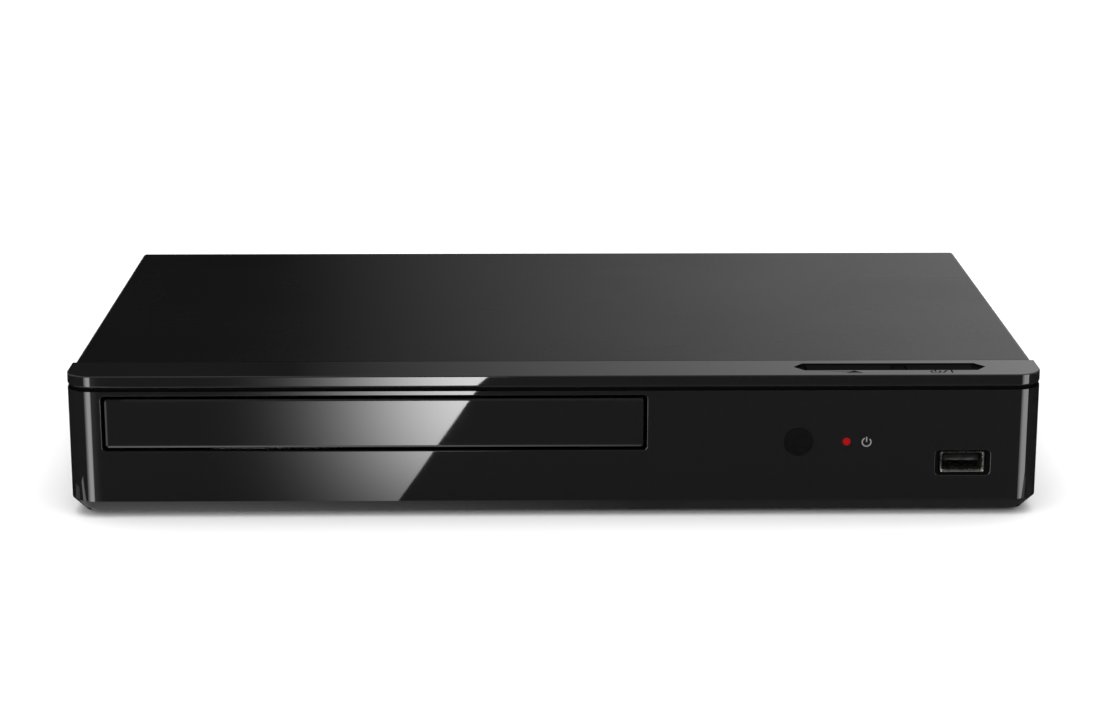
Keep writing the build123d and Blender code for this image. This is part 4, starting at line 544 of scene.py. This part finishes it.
def join_all(name, pieces):
    """Joins pieces into one mesh of this name, with its place in the mesh."""
    bpy.ops.object.select_all(action="DESELECT")
    for piece in pieces:
        piece.select_set(True)
    bpy.context.view_layer.objects.active = pieces[0]
    bpy.ops.object.transform_apply(location=True, rotation=True, scale=True)
    if len(pieces) > 1:
        bpy.ops.object.join()
    joined = bpy.context.object
    joined.name = name
    return joined


def evenly(middle, pitch, count):
    """Places of a row of like things at one pitch about its middle."""
    return [middle + pitch * (step - (count - 1) / 2) for step in range(count)]


def contact_row(name, low, high, rise, spots):
    """Row of strips: a block between two corners, its far end raised and its edges broken, then copied."""
    strip = block(low, high)
    far = max(vertex.co.y for vertex in strip.data.vertices)
    edit(strip)
    pick(strip, "VERT", lambda vertex: vertex.co.y > far - 0.01 * MM)
    bpy.ops.transform.translate(value=(0, 0, rise * MM))
    bpy.ops.object.mode_set(mode="OBJECT")
    apply_modifier(strip, "BEVEL", width=CONTACT_EDGE * MM, segments=1)
    row = []
    for spot in spots:
        contact = own_copy(strip)
        contact.location.x = spot * MM
        row.append(contact)
    bpy.data.objects.remove(strip)
    contacts = join_all(name, row)
    coat(contacts, gold_flash)
    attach(contacts, body_of["usb_insert"])
    round_off(contacts, 20.0)


low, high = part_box("hdmi_insert")
video_x = (low.x + high.x) / 2 / MM
start, end = [high.y / MM - reach for reach in VIDEO_ENDS]
for name, bottom, top, count in (
    ("hdmi_upper_contacts", VIDEO_MIDDLE + VIDEO_FACE, VIDEO_MIDDLE + VIDEO_OUTSIDE, 10),
    ("hdmi_lower_contacts", VIDEO_MIDDLE - VIDEO_OUTSIDE, VIDEO_MIDDLE - VIDEO_FACE, 9),
):
    contact_row(
        name, (-VIDEO_HALF, start, bottom), (VIDEO_HALF, end, top), 0.0, evenly(video_x, VIDEO_PITCH, count)
    )
low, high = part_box("lan_insert")
network_x = (low.x + high.x) / 2 / MM
start, end = [high.y / MM - reach for reach in NETWORK_ENDS]
contact_row(
    "network_contacts",
    (-NETWORK_HALF, start, NETWORK_HEIGHTS[0]), (NETWORK_HALF, end, NETWORK_HEIGHTS[1]), NETWORK_RISE,
    evenly(network_x, NETWORK_PITCH, NETWORK_COUNT),
)
low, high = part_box("usb_insert")
start, end = [low.y / MM + reach for reach in USB_ENDS]
contact_row(
    "usb_contacts", (-USB_HALF, start, USB_HEIGHTS[0]), (USB_HALF, end, USB_HEIGHTS[1]), 0.0,
    [usb_centre.x / MM + spot for spot in USB_SPOTS],
)

# Socket inserts, mains inlet, infrared receiver and tact switches: black filled nylon mouldings.
# They sit inside the shells or straight on the boards.
# Filled nylon: matt black with a very fine grain, drawn coarser than it is so that it shows
black_nylon, shader, place = start_material("black_filled_nylon")
fibre = add_node(black_nylon, "TexNoise", {"Vector": place, "Scale": per_metre(0.5), "Detail": 5.0})
gloss = add_node(black_nylon, "MapRange", {"Value": fibre.outputs[0], "To Min": 0.46, "To Max": 0.66})
fine_grain = add_node(
    black_nylon, "Bump", {"Height": fibre.outputs[0], "Strength": 0.3, "Distance": 0.02 * MM}
)
set_sockets(black_nylon, shader, {
    "Base Color": linear("#171718"),
    "Roughness": gloss.outputs[0],
    "IOR": 1.53,
    "Normal": fine_grain.outputs[0],
})
finish(
    black_nylon, "hdmi_insert", "lan_insert", "usb_insert", "coax_body", "ac_inlet", "ir_receiver",
    "tact_switches",
)

# Loader frame, disc tray and traverse holder: moulded black ABS with a sparked surface.
# The frame is screwed to the chassis, the tray runs in its guides, the holder hinges at its rear.
# Sparked ABS: satin black with an even grain that breaks up the light, drawn coarser so that it shows
sparked_abs, shader, place = start_material("sparked_black_abs")
sparking = add_node(sparked_abs, "TexNoise", {"Vector": place, "Scale": per_metre(0.9), "Detail": 6.0})
grain = add_node(
    sparked_abs, "Bump", {"Height": sparking.outputs[0], "Strength": 0.45, "Distance": 0.04 * MM}
)
flow = add_node(sparked_abs, "TexNoise", {"Vector": place, "Scale": per_metre(40.0)})
colour = add_node(
    sparked_abs, "Mix",
    {SHARE: flow.outputs[0], COLOUR_A: linear("#1a1a1b"), COLOUR_B: linear("#222223")},
    data_type="RGBA",
)
set_sockets(sparked_abs, shader, {
    "Base Color": colour.outputs[MIXED],
    "Roughness": 0.48,
    "IOR": 1.54,
    "Normal": grain.outputs[0],
})
finish(sparked_abs, "loader_frame", "disc_tray", "traverse_holder")

# Gears, pulleys, cam slider and clamper: moulded acetal in its natural white.
# The gears turn on axles of the loader frame, the slider runs on its deck, the clamper hangs in the bridge.
# Acetal: waxy off-white with soft edges of light
white_acetal = mottled("natural_acetal", "#dcdad0", "#ecebe4", {
    "Roughness": 0.36,
    "Subsurface Weight": 0.2,
    "Subsurface Radius": (1.2 * MM, 1.1 * MM, 0.9 * MM),
}, patch_mm=6.0)
finish(white_acetal, "tray_gear", "pulley_gear", "cam_slider", "motor_pulley", "clamper")

# Motors and turntable: cans drawn from sheet steel and plated.
# The loading motor hangs under the deck, the others on the traverse, the turntable is on its shaft.
# Plated can: bright grey, with a gloss that varies in small patches
plated_can = patchy_metal("plated_drawn_steel", "#c2c3c5", glossy=0.2, dull=0.4, patch_mm=1.1)
finish(plated_can, "loading_motor", "sled_motor", "spindle_motor", "turntable")

# Clamper magnet: a disc of sintered alloy under nickel, on the clamper.
# It draws the clamper to the turntable, so that the disc between them is held.
# Nickel over sintered alloy: darker and duller than the plated shells, with a fine grain
sintered_magnet = patchy_metal(
    "plated_sintered_magnet", "#9c9da0", glossy=0.3, dull=0.5, patch_mm=0.6
)
finish(sintered_magnet, "clamper_magnet")

# Guide rods and lead screw: ground steel bars on which the pickup travels.
# The rods sit in posts of the traverse plate, and the screw turns in its tabs.
# Ground steel: near-mirror, with fine uneven marks of the grinding
ground_steel = patchy_metal(
    "ground_steel", "#cfd0d2", glossy=0.12, dull=0.26, patch_mm=0.3, detail=3.0
)
finish(ground_steel, "guide_rods", "lead_screw")

# Pickup: a die-cast zinc body that slides on the rods, with the objective lens in its top.
# A follower round the lead screw moves it.
# Die casting: pale grey metal with a blotchy chilled skin
die_casting = mottled("die_cast_zinc", "#8e9092", "#b3b5b7", {
    "Roughness": 0.46,
    "Metallic": 1.0,
}, patch_mm=2.4, detail=7.0)
finish(die_casting, "pickup_body")

# Coated glass: clear, with the blue-violet sheen of its coating
coated_glass = mottled("coated_lens_glass", "#6f86c8", "#9a8fd6", {
    "Roughness": 0.03,
    "IOR": 1.6,
    "Transmission Weight": 0.7,
}, patch_mm=8.0)
finish(coated_glass, "objective_lens")

# Front panel: one moulding of gloss black ABS with lip, shadow groove, tray opening and plinth.
# It closes the front of the case. The mould is polished on the outside and left dull in the pockets, whose
# darker black without reflection is painted shade.
# Polished ABS: deep black mirror with the slow waves of moulded shrinkage and faint handling marks
gloss_abs, shader, place = start_material("polished_black_abs")
waves = add_node(gloss_abs, "TexNoise", {"Vector": place, "Scale": per_metre(45.0)})
sink = add_node(gloss_abs, "Bump", {"Height": waves.outputs[0], "Strength": 0.1, "Distance": 0.05 * MM})
smears = add_node(gloss_abs, "TexNoise", {"Vector": place, "Scale": per_metre(14.0), "Detail": 5.0})
polish = add_node(gloss_abs, "MapRange", {"Value": smears.outputs[0], "To Min": 0.012, "To Max": 0.035})
set_sockets(gloss_abs, shader, {
    "Base Color": linear("#19191a"),
    "Roughness": polish.outputs[0],
    "IOR": 1.54,
    "Normal": sink.outputs[0],
})

# Spark-eroded ABS in the pockets and the lip's marks: pitted black, darker than the panel and with its
# reflection taken away, which is painted shade
pocket_abs_painted_shade, shader, place = start_material("spark_eroded_abs_painted_shade")
pits = add_node(pocket_abs_painted_shade, "TexNoise", {"Vector": place, "Scale": per_metre(0.5), "Detail": 4.0})
pitting = add_node(pocket_abs_painted_shade, "Bump", {"Height": pits.outputs[0], "Strength": 0.4, "Distance": 0.02 * MM})
set_sockets(pocket_abs_painted_shade, shader, {
    "Base Color": linear("#0c0c0d"),
    "Roughness": 0.7,
    "IOR": 1.5,
    "Specular IOR Level": 0.004,
    "Normal": pitting.outputs[0],
})

# Ink wiped into the shallow mark beside the indicator: flat grey, a little uneven
grey_ink = mottled("wiped_in_grey_ink", "#7c7c7d", "#8e8e8f", {
    "Roughness": 0.7,
    "Specular IOR Level": 0.2,
}, patch_mm=0.4)

# The marks are generic: a triangle over a bar, broken rings with a bar, and two strokes.
# Their cutters are drawn flat in millimetres round their own middle, and half their depth sinks in.
MARK_DEPTH = 0.1
MARK_HALF = MARK_DEPTH / 2
STROKE_HALF = 0.28
RING_START = 0.01
RING_OPEN = 70
LIP_TOP = 47.0
FRONT_FACE = -93.25
LYING, UPRIGHT = 0, 90


def take_out(piece, cutter):
    """Cuts one shape out of a piece."""
    apply_modifier(piece, "BOOLEAN", operation="DIFFERENCE", solver="MANIFOLD", object=cutter)
    bpy.data.objects.remove(cutter)


def eject_mark():
    """Cutter of a flat triangle over a bar."""
    bpy.ops.object.select_all(action="DESELECT")
    bpy.ops.mesh.primitive_cylinder_add(
        vertices=3, radius=1.0 * MM, depth=MARK_DEPTH * MM, location=(0, 0.1 * MM, 0),
        scale=(2.75, 1.3, 1.0),
    )
    triangle = bpy.context.object
    bar = block((-2.4, -1.55, -MARK_HALF), (2.4, -0.95, MARK_HALF))
    return join_all("eject_cutter", [triangle, bar])


def standby_mark(radius, stroke):
    """Cutter of a ring that is open at the top, with a bar in the opening."""
    ring = block((radius - stroke / 2, -RING_START, -MARK_HALF), (radius + stroke / 2, 0.0, MARK_HALF))
    edit(ring)
    pick(ring, "FACE", lambda face: face.normal.y < -FACING)
    bpy.ops.mesh.spin(steps=24, angle=radians(360 - RING_OPEN), center=(0, 0, 0), axis=(0, 0, 1))
    bpy.ops.mesh.select_all(action="SELECT")
    bpy.ops.mesh.remove_doubles(threshold=MERGE_GAP / 2)
    bpy.ops.mesh.normals_make_consistent(inside=False)
    bpy.ops.object.mode_set(mode="OBJECT")
    heavy_side = sum((vertex.co for vertex in ring.data.vertices), Vector())
    ring.rotation_euler.z = -pi / 2 - atan2(heavy_side.y, heavy_side.x)
    bar = block((-stroke / 2, radius * 0.05, -MARK_HALF), (stroke / 2, radius * 1.25, MARK_HALF))
    return join_all("standby_cutter", [ring, bar])


def stroke_mark(half_length, lean):
    """Cutter of a plain stroke that leans by some degrees."""
    stroke = block((-STROKE_HALF, -half_length, -MARK_HALF), (STROKE_HALF, half_length, MARK_HALF))
    stroke.rotation_euler.z = radians(lean)
    return join_all("stroke_cutter", [stroke])


front_panel = merged_copy("front_panel")
for cutter, spot, tilt in (
    (eject_mark(), (95.9, -89.2, LIP_TOP), LYING),
    (standby_mark(1.5, 0.55), (121.9, -89.4, LIP_TOP), LYING),
    (stroke_mark(1.7, -28), (124.9, -89.2, LIP_TOP), LYING),
    (stroke_mark(1.6, 0), (127.1, -89.2, LIP_TOP), LYING),
    (standby_mark(1.4, 0.42), (99.9, FRONT_FACE, 24.75), UPRIGHT),
):
    cutter.location = [value * MM for value in spot]
    cutter.rotation_euler.x = radians(tilt)
    take_out(front_panel, join_all(cutter.name, [cutter]))

# The materials come after the cuts, because a cut adds an empty material slot
coat(front_panel, gloss_abs, pocket_abs_painted_shade, grey_ink)
GLOSS, PAINTED_SHADE, INK = 0, 1, 2
# Places whose faces get the painted shade, the darker black without reflection
painted_shade_places = {
    "button recess and lip marks": ((76.0, -92.5, 40.0), (140.0, -78.0, 46.99)),
    "socket mouth": ((121.5, -93.15, 13.0), (140.5, -88.0, 22.4)),
    "tray opening": ((-145.0, -93.2, 22.0), (30.0, -88.0, 40.8)),
    "shadow groove": ((-156.5, -94.0, 41.95), (156.5, -60.0, 43.05)),
}
ink_place = ((97.0, -93.24, 22.0), (103.0, -92.8, 28.0))


def within(spot, room):
    """Whether a point of the mesh lies in the room between two corners in millimetres."""
    low, high = room
    return all(a * MM < c < b * MM for a, c, b in zip(low, spot, high))


for face in front_panel.data.polygons:
    face.material_index = GLOSS
    if any(within(face.center, room) for room in painted_shade_places.values()):
        face.material_index = PAINTED_SHADE
    if within(face.center, ink_place):
        face.material_index = INK

# The edge of the USB mouth is broken all round
mouth = ((122.0, FRONT_FACE - 0.01, 13.4), (140.0, FRONT_FACE + 0.01, 22.0))
MOUTH_EDGE = 0.25
edit(front_panel)
corners = front_panel.data.vertices
pick(front_panel, "EDGE", lambda edge: all(within(corners[v].co, mouth) for v in edge.vertices))
bpy.ops.mesh.bevel(offset=MOUTH_EDGE * MM, segments=3, affect="EDGES")
bpy.ops.object.mode_set(mode="OBJECT")
round_off(front_panel, 30.0)

# Tray door: the same gloss ABS, with a shallow bevel that catches the light along its lower and left edge.
# It is clipped to the front of the tray and travels with it.
DOOR_FRONT = -92.95
BEVEL_BACK = -92.35
BEVEL_FALL = 0.16
tray_door = merged_copy("tray_door")
coat(tray_door, gloss_abs)
edit(tray_door)
pick(tray_door, "VERT", lambda vertex: abs(vertex.co.y - BEVEL_BACK * MM) < 0.05 * MM)
bpy.ops.transform.translate(value=(0, (DOOR_FRONT + BEVEL_FALL - BEVEL_BACK) * MM, 0))
bpy.ops.object.mode_set(mode="OBJECT")
round_off(tray_door, 10.0)

# Buttons: moulded black ABS caps in the recess of the lip.
# A flange under the lip holds each, and its stem stands over a tact switch.
# Satin ABS: black with a matt grain, drawn coarser so that it shows, made darker and without reflection as
# painted shade of the lip's recess
button_abs_painted_shade, shader, place = start_material("satin_black_abs_painted_shade")
matt = add_node(button_abs_painted_shade, "TexNoise", {"Vector": place, "Scale": per_metre(0.6), "Detail": 4.0})
matt_grain = add_node(
    button_abs_painted_shade, "Bump", {"Height": matt.outputs[0], "Strength": 0.3, "Distance": 0.02 * MM}
)
set_sockets(button_abs_painted_shade, shader, {
    "Base Color": linear("#0c0c0d"),
    "Roughness": 0.6,
    "IOR": 1.5,
    "Specular IOR Level": 0.004,
    "Normal": matt_grain.outputs[0],
})
finish(button_abs_painted_shade, "open_close_button", "power_button", steepest=60.0)

# Infrared window: a moulded plug of dark infrared-pass acrylic in the panel.
# A flange behind the panel's wall holds it.
# Dyed acrylic: a shade deeper than the panel, with dots of dye under a polished face
infrared_acrylic, shader, place = start_material("infrared_pass_acrylic")
dots = add_node(infrared_acrylic, "TexVoronoi", {"Vector": place, "Scale": per_metre(0.8)})
colour = add_node(
    infrared_acrylic, "Mix",
    {SHARE: dots.outputs["Distance"], COLOUR_A: linear("#0a0a0a"), COLOUR_B: linear("#161616")},
    data_type="RGBA",
)
set_sockets(infrared_acrylic, shader, {
    "Base Color": colour.outputs[MIXED],
    "Roughness": 0.08,
    "IOR": 1.49,
})
finish(infrared_acrylic, "ir_window")

# Indicator: a diode that stands on its legs on the front board, and a red light pipe in front of it.
# The pipe is moulded with a flange that holds it behind the panel's wall.
# Red acrylic: clear red that glows most in the middle
GLOW_REACH = 1.6
low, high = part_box("led_lens")
lens_centre = (low + high) / 2
red_acrylic, shader, place = start_material("red_light_pipe_acrylic")
centred = add_node(red_acrylic, "Mapping", {"Vector": place, "Location": -lens_centre})
flat = add_node(red_acrylic, "VectorMath", {0: centred.outputs[0], 1: (1, 0, 1)}, operation="MULTIPLY")
reach = add_node(red_acrylic, "VectorMath", {0: flat.outputs[0]}, operation="LENGTH")
glow = add_node(red_acrylic, "MapRange", {
    "Value": reach.outputs["Value"],
    "From Min": 0.0, "From Max": GLOW_REACH * MM, "To Min": 0.3, "To Max": 0.22,
})
set_sockets(red_acrylic, shader, {
    "Base Color": linear("#7a0609"),
    "Roughness": 0.3,
    "IOR": 1.49,
    "Specular IOR Level": 0.1,
    "Emission Color": linear("#b8090d"),
    "Emission Strength": glow.outputs[0],
})
finish(red_acrylic, "led_lens", "indicator_diode")

# Top cover and rear panel: sheet steel, painted black, bent and screwed on.
# The cover has two skirts and a rear flange, the rear panel holds the sockets.
# Stoved paint: satin black with the fine orange peel of sprayed enamel
stoved_paint, shader, place = start_material("stoved_black_paint")
spray = add_node(stoved_paint, "TexNoise", {"Vector": place, "Scale": per_metre(0.7), "Detail": 4.0})
peel = add_node(
    stoved_paint, "Bump", {"Height": spray.outputs[0], "Strength": 0.3, "Distance": 0.03 * MM}
)
drift = add_node(stoved_paint, "TexNoise", {"Vector": place, "Scale": per_metre(60.0), "Detail": 3.0})
gloss = add_node(stoved_paint, "MapRange", {"Value": drift.outputs[0], "To Min": 0.24, "To Max": 0.3})
set_sockets(stoved_paint, shader, {
    "Base Color": linear("#070708"),
    "Roughness": gloss.outputs[0],
    "IOR": 1.5,
    "Specular IOR Level": 0.245,
    "Normal": peel.outputs[0],
})
finish(stoved_paint, "top_cover", "rear_panel")

# Screws: rolled steel with pan heads and a cross recess, blackened.
# Three hold the cover at the back and four at the sides, the others hold the boards and the loader.
# Black oxide: dark oily grey, brighter in worn patches
black_oxide = mottled("black_oxide_steel", "#2a2a2c", "#4a4a4d", {
    "Roughness": 0.34,
    "Metallic": 1.0,
}, patch_mm=1.2, detail=5.0)
HEAD_RADIUS = 2.9
HEAD_HEIGHT = 1.6
HEAD_ROUNDING = 0.9
THREAD_RADIUS = 1.45
THREAD_PITCH = 0.6
THREAD_WAIST = 0.8
RECESS_HALF_LENGTH = 1.75
RECESS_HALF_WIDTH = 0.42
RECESS_FLOOR = HEAD_HEIGHT - 1.1
RECESS_OVER = HEAD_HEIGHT + 0.5
RECESS_TAPER = (0.45, 0.7, 1.0)


def make_screw(length):
    """Screw with the underside of its head at the origin and its shank this far down, in millimetres."""
    bpy.ops.object.select_all(action="DESELECT")
    bpy.ops.mesh.primitive_cylinder_add(
        vertices=32, radius=HEAD_RADIUS * MM, depth=HEAD_HEIGHT * MM, location=(0, 0, HEAD_HEIGHT / 2 * MM)
    )
    screw = bpy.context.object
    bpy.ops.object.transform_apply(location=True, rotation=False, scale=False)
    edit(screw)
    pick(screw, "FACE", lambda face: face.normal.z > FACING)
    bpy.ops.mesh.bevel(offset=HEAD_ROUNDING * MM, segments=5, affect="EDGES")
    pick(screw, "FACE", lambda face: face.normal.z < -FACING)
    bpy.ops.mesh.inset(thickness=(HEAD_RADIUS - THREAD_RADIUS) * MM)
    half_turn = {"value": (0, 0, -THREAD_PITCH / 2 * MM)}
    for turn in range(int(length / THREAD_PITCH)):
        for girth in (THREAD_WAIST, 1 / THREAD_WAIST):
            bpy.ops.mesh.extrude_region_move(TRANSFORM_OT_translate=half_turn)
            bpy.ops.transform.resize(value=(girth, girth, 1.0), center_override=(0, 0, 0))
    bpy.ops.object.mode_set(mode="OBJECT")
    for turn in (0, 90):
        slot = block(
            (-RECESS_HALF_LENGTH, -RECESS_HALF_WIDTH, RECESS_FLOOR),
            (RECESS_HALF_LENGTH, RECESS_HALF_WIDTH, RECESS_OVER),
        )
        edit(slot)
        pick(slot, "FACE", lambda face: face.normal.z < -FACING)
        bpy.ops.transform.resize(value=RECESS_TAPER, center_override=(0, 0, RECESS_FLOOR * MM))
        bpy.ops.object.mode_set(mode="OBJECT")
        slot.rotation_euler.z = radians(turn)
        take_out(screw, join_all("driver_slot", [slot]))
    return screw


def loose_parts(name):
    """Corners of each separate solid of a CAD node, the axis it lies along, and whether its head is up."""
    scrap = own_copy(frame["nodes"][name])
    edit(scrap)
    bpy.ops.mesh.select_all(action="SELECT")
    bpy.ops.mesh.remove_doubles(threshold=MERGE_GAP)
    bpy.ops.mesh.separate(type="LOOSE")
    bpy.ops.object.mode_set(mode="OBJECT")
    found = []
    for part in list(bpy.context.selected_objects):
        spots = [vertex.co.copy() for vertex in part.data.vertices]
        low = Vector([min(spot[axis] for spot in spots) for axis in range(3)])
        high = Vector([max(spot[axis] for spot in spots) for axis in range(3)])
        size = high - low
        along = min(range(3), key=lambda axis: abs(size[axis - 1] - size[axis - 2]))
        middle = (low + high) / 2
        wide = []
        for spot in spots:
            out = spot - middle
            out[along] = 0
            if out.length > 0.8 * HEAD_RADIUS * MM:
                wide.append(spot[along])
        head_up = sum(wide) / len(wide) > middle[along]
        found.append((low, high, along, head_up))
        bpy.data.objects.remove(part)
    return found


for name in ("cover_screws", "board_screws", "loader_screws"):
    patterns = {}
    copies = []
    for low, high, along, head_up in loose_parts(name):
        length = round((high - low)[along] / MM - HEAD_HEIGHT, 2)
        if length not in patterns:
            patterns[length] = make_screw(length)
        out = Vector((0, 0, 0))
        out[along] = 1 if head_up else -1
        seat = (low + high) / 2
        seat[along] = (high if head_up else low)[along] - out[along] * HEAD_HEIGHT * MM
        screw = own_copy(patterns[length])
        screw.location = seat
        screw.rotation_euler = Vector((0, 0, 1)).rotation_difference(out).to_euler()
        copies.append(screw)
    for pattern in patterns.values():
        bpy.data.objects.remove(pattern)
    screws = join_all(f"{name}_cross_head", copies)
    stand_for(screws, black_oxide, name)
    round_off(screws, 35.0)

# Studio floor: one plain pale sweep, lit evenly.
# The part in front of the case and beside it is a sheet of its own that mirrored rays don't see,
# as if a dark cloth lay there out of the picture, so that the gloss panel stays black.
FRONT_LINE, BACK_LINE = -0.06, 0.5
SIDE_NEAR, SIDE_FAR = 0.15, 0.45
bpy.ops.object.select_all(action="DESELECT")
bpy.ops.mesh.primitive_plane_add(size=8.0, location=(0, 1.0, 0))
floor = bpy.context.object
floor.name = "studio_floor"
bpy.ops.object.transform_apply(location=True, rotation=False, scale=False)
# Matt white board: no gloss, and hardly any mottling
white_floor = mottled("white_floor", "#f6f6f6", "#fafafa", {
    "Roughness": 0.9,
    "Specular IOR Level": 0.0,
}, patch_mm=300.0)
coat(floor, white_floor)
cuts = [((0, line, 0), (0, 1, 0)) for line in (FRONT_LINE, BACK_LINE)]
cuts += [((line, 0, 0), (1, 0, 0)) for line in (-SIDE_FAR, -SIDE_NEAR, SIDE_NEAR, SIDE_FAR)]
edit(floor)
for spot, across in cuts:
    bpy.ops.mesh.select_all(action="SELECT")
    bpy.ops.mesh.bisect(plane_co=spot, plane_no=across)
pick(floor, "FACE", lambda face: face.center.y < FRONT_LINE or (
    SIDE_NEAR < abs(face.center.x) < SIDE_FAR and face.center.y < BACK_LINE
))
bpy.ops.mesh.separate(type="SELECTED")
bpy.ops.object.mode_set(mode="OBJECT")
for sheet in bpy.context.selected_objects:
    if sheet != floor:
        sheet.name = "near_floor"
        sheet.visible_glossy = False

# Reflector cards: lit boards round the set that only the mirrored rays see.
# Each is bright from one line to another, along an axis of the room, and may fade along a second axis.
CARD_Y = cad_box[0].y - 0.25
REAR_LEFT, REAR_RIGHT, REAR_Y = -0.20, 0.70, 1.2
LOW_HALF, LOW_Z = 0.25, -0.02
STRIP_FOOT, STRIP_HEAD = -0.6, 0.5


def reflector(name, corners, strength, *fades, sharpness=1.0):
    """Card through four corners, whose first fade may be sharpened.

    A fade is an axis, its dark and its bright end, and the share of light left at the dark one.
    """
    bpy.ops.object.select_all(action="DESELECT")
    bpy.ops.mesh.primitive_plane_add(size=1.0)
    card = bpy.context.object
    card.name = name
    for vertex, corner in zip(card.data.vertices, corners):
        vertex.co = corner
    material, shader, place = start_material(name)
    material.node_tree.nodes.remove(shader)
    axes = add_node(material, "SeparateXYZ", {0: place})
    level = strength
    for fade, power in zip(fades, (sharpness, 1.0)):
        axis, dark, bright, least = fade
        step = add_node(
            material, "MapRange",
            {"Value": axes.outputs[axis], "From Min": dark, "From Max": bright, "To Min": least},
            interpolation_type="SMOOTHSTEP" if sharpness != 1.0 else "LINEAR",
        )
        shaped = add_node(material, "Math", {0: step.outputs[0], 1: power}, operation="POWER")
        lit = add_node(material, "Math", {0: shaped.outputs[0], 1: level}, operation="MULTIPLY")
        level = lit.outputs[0]
    light = add_node(material, "Emission", {"Strength": level})
    output = material.node_tree.nodes["Material Output"]
    set_sockets(material, output, {"Surface": light.outputs[0]})
    coat(card, material)
    card.visible_camera = False
    card.visible_diffuse = False
    card.visible_shadow = False


# The bright slanted window in the door and the panel
reflector(
    "slanted_card",
    [(-0.175, CARD_Y, -0.110), (-0.0870, CARD_Y, -0.110), (-0.175, CARD_Y, 0.0), (-0.0109, CARD_Y, 0.0)],
    14.2, ("X", -0.175, -0.024, 0.0), ("Z", -0.105, -0.028, 0.0), sharpness=3.2,
)
# The cover's slow gradient from left to right
reflector(
    "rear_gradient_card",
    [(x, REAR_Y, z) for z in (0.15, 0.6) for x in (REAR_LEFT, REAR_RIGHT)],
    1.05, ("X", REAR_LEFT, REAR_RIGHT, 0.0),
)
# The sheen of the plinth's chamfer and of the door's lower bevel
for name, front, back, strength, fade in (
    ("low_card", -0.098, -0.06, 0.36, ("X", 0.03, -0.12, 0.15)),
    ("bevel_card", -0.144, -0.126, 1.9, ("X", 0.04, -0.13, 0.34)),
):
    reflector(
        name, [(x, y, LOW_Z) for y in (front, back) for x in (-LOW_HALF, LOW_HALF)], strength, fade
    )
# The upright streaks in the panel's rounded ends
for name, near, far, strength, *fades in (
    (
        "left_strip_card", (-0.27, -0.94), (-0.69, -0.71), 5.7,
        ("X", -0.285, -0.36, 0.0), ("X", -0.70, -0.50, 0.0),
    ),
    ("right_strip_card", (0.58, -0.80), (0.88, -0.45), 4.5, ("X", 0.56, 0.70, 0.0)),
):
    reflector(name, [(*end, z) for z in (STRIP_FOOT, STRIP_HEAD) for end in (near, far)], strength, *fades)

# Soft light: a large overhead softbox, and a white surround.
# Mirrored rays see it only in parts: high up behind the case, and above the horizon beside and before it.
SOFTBOX_SIDE = 2.4
bpy.ops.object.light_add(type="AREA", location=(0, -0.2, 1.8))
softbox = bpy.context.object
softbox.data.shape = "RECTANGLE"
softbox.data.size = SOFTBOX_SIDE
softbox.data.size_y = SOFTBOX_SIDE
softbox.data.energy = 26.0
softbox.visible_glossy = False

# Sockets of a Mix node that mixes plain numbers
NUMBER_A, NUMBER_B = 2, 3
AMBIENT_LIGHT = 0.95
world = bpy.data.worlds.new("studio")
bpy.context.scene.world = world
world.use_nodes = True
path = add_node(world, "LightPath", {})
direction = add_node(world, "TexCoord", {})
axes = add_node(world, "SeparateXYZ", {0: direction.outputs["Generated"]})
overhead = add_node(world, "MapRange", {"Value": axes.outputs["Z"], "From Min": 0.4, "From Max": 0.8})
behind = add_node(
    world, "MapRange", {"Value": axes.outputs["Y"], "From Min": 0.05, "From Max": 0.3, "To Max": 0.8}
)
high_up = add_node(
    world, "MapRange", {"Value": axes.outputs["Z"], "From Min": 0.0, "From Max": 0.6, "To Max": 0.4}
)
in_front = add_node(world, "MapRange", {"Value": axes.outputs["Y"], "From Min": -0.1, "From Max": -0.5})
front_part = add_node(
    world, "Math", {0: high_up.outputs[0], 1: in_front.outputs[0]}, operation="MULTIPLY"
)
sideways = add_node(world, "Math", {0: axes.outputs["X"]}, operation="ABSOLUTE")
beside = add_node(world, "MapRange", {"Value": sideways.outputs[0], "From Min": 0.55, "From Max": 0.85})
above = add_node(
    world, "MapRange", {"Value": axes.outputs["Z"], "From Min": 0.02, "From Max": 0.5, "To Max": 0.6}
)
side_part = add_node(
    world, "Math", {0: beside.outputs[0], 1: above.outputs[0], 2: front_part.outputs[0]},
    operation="MULTIPLY_ADD",
)
mirrored = add_node(
    world, "Math", {0: overhead.outputs[0], 1: behind.outputs[0], 2: side_part.outputs[0]},
    operation="MULTIPLY_ADD",
)
ambient = add_node(
    world, "Mix",
    {SHARE: path.outputs["Is Glossy Ray"], NUMBER_A: AMBIENT_LIGHT, NUMBER_B: mirrored.outputs[0]},
    data_type="FLOAT",
)
level = add_node(
    world, "Mix",
    {SHARE: path.outputs["Is Camera Ray"], NUMBER_A: ambient.outputs[0], NUMBER_B: 1.0},
    data_type="FLOAT",
)
background = world.node_tree.nodes["Background"]
set_sockets(world, background, {"Color": (1, 1, 1, 1), "Strength": level.outputs[0]})
# Plain tones, in which the white floor stays white
bpy.context.scene.view_settings.view_transform = "Standard"

# Camera: in front of the player and a little above it, as the photograph was taken.
# It looks down a little and is turned a touch to the right.
CAMERA_PLACE = (-0.0102, -0.90815, 0.2669)
LOOK_DOWN = 14.76
LOOK_RIGHT = 0.59
bpy.ops.object.camera_add(
    location=CAMERA_PLACE, rotation=(radians(90 - LOOK_DOWN), 0, radians(-LOOK_RIGHT))
)
camera = bpy.context.object
camera.data.sensor_width = 36.0
camera.data.lens = 87.1
bpy.context.scene.camera = camera
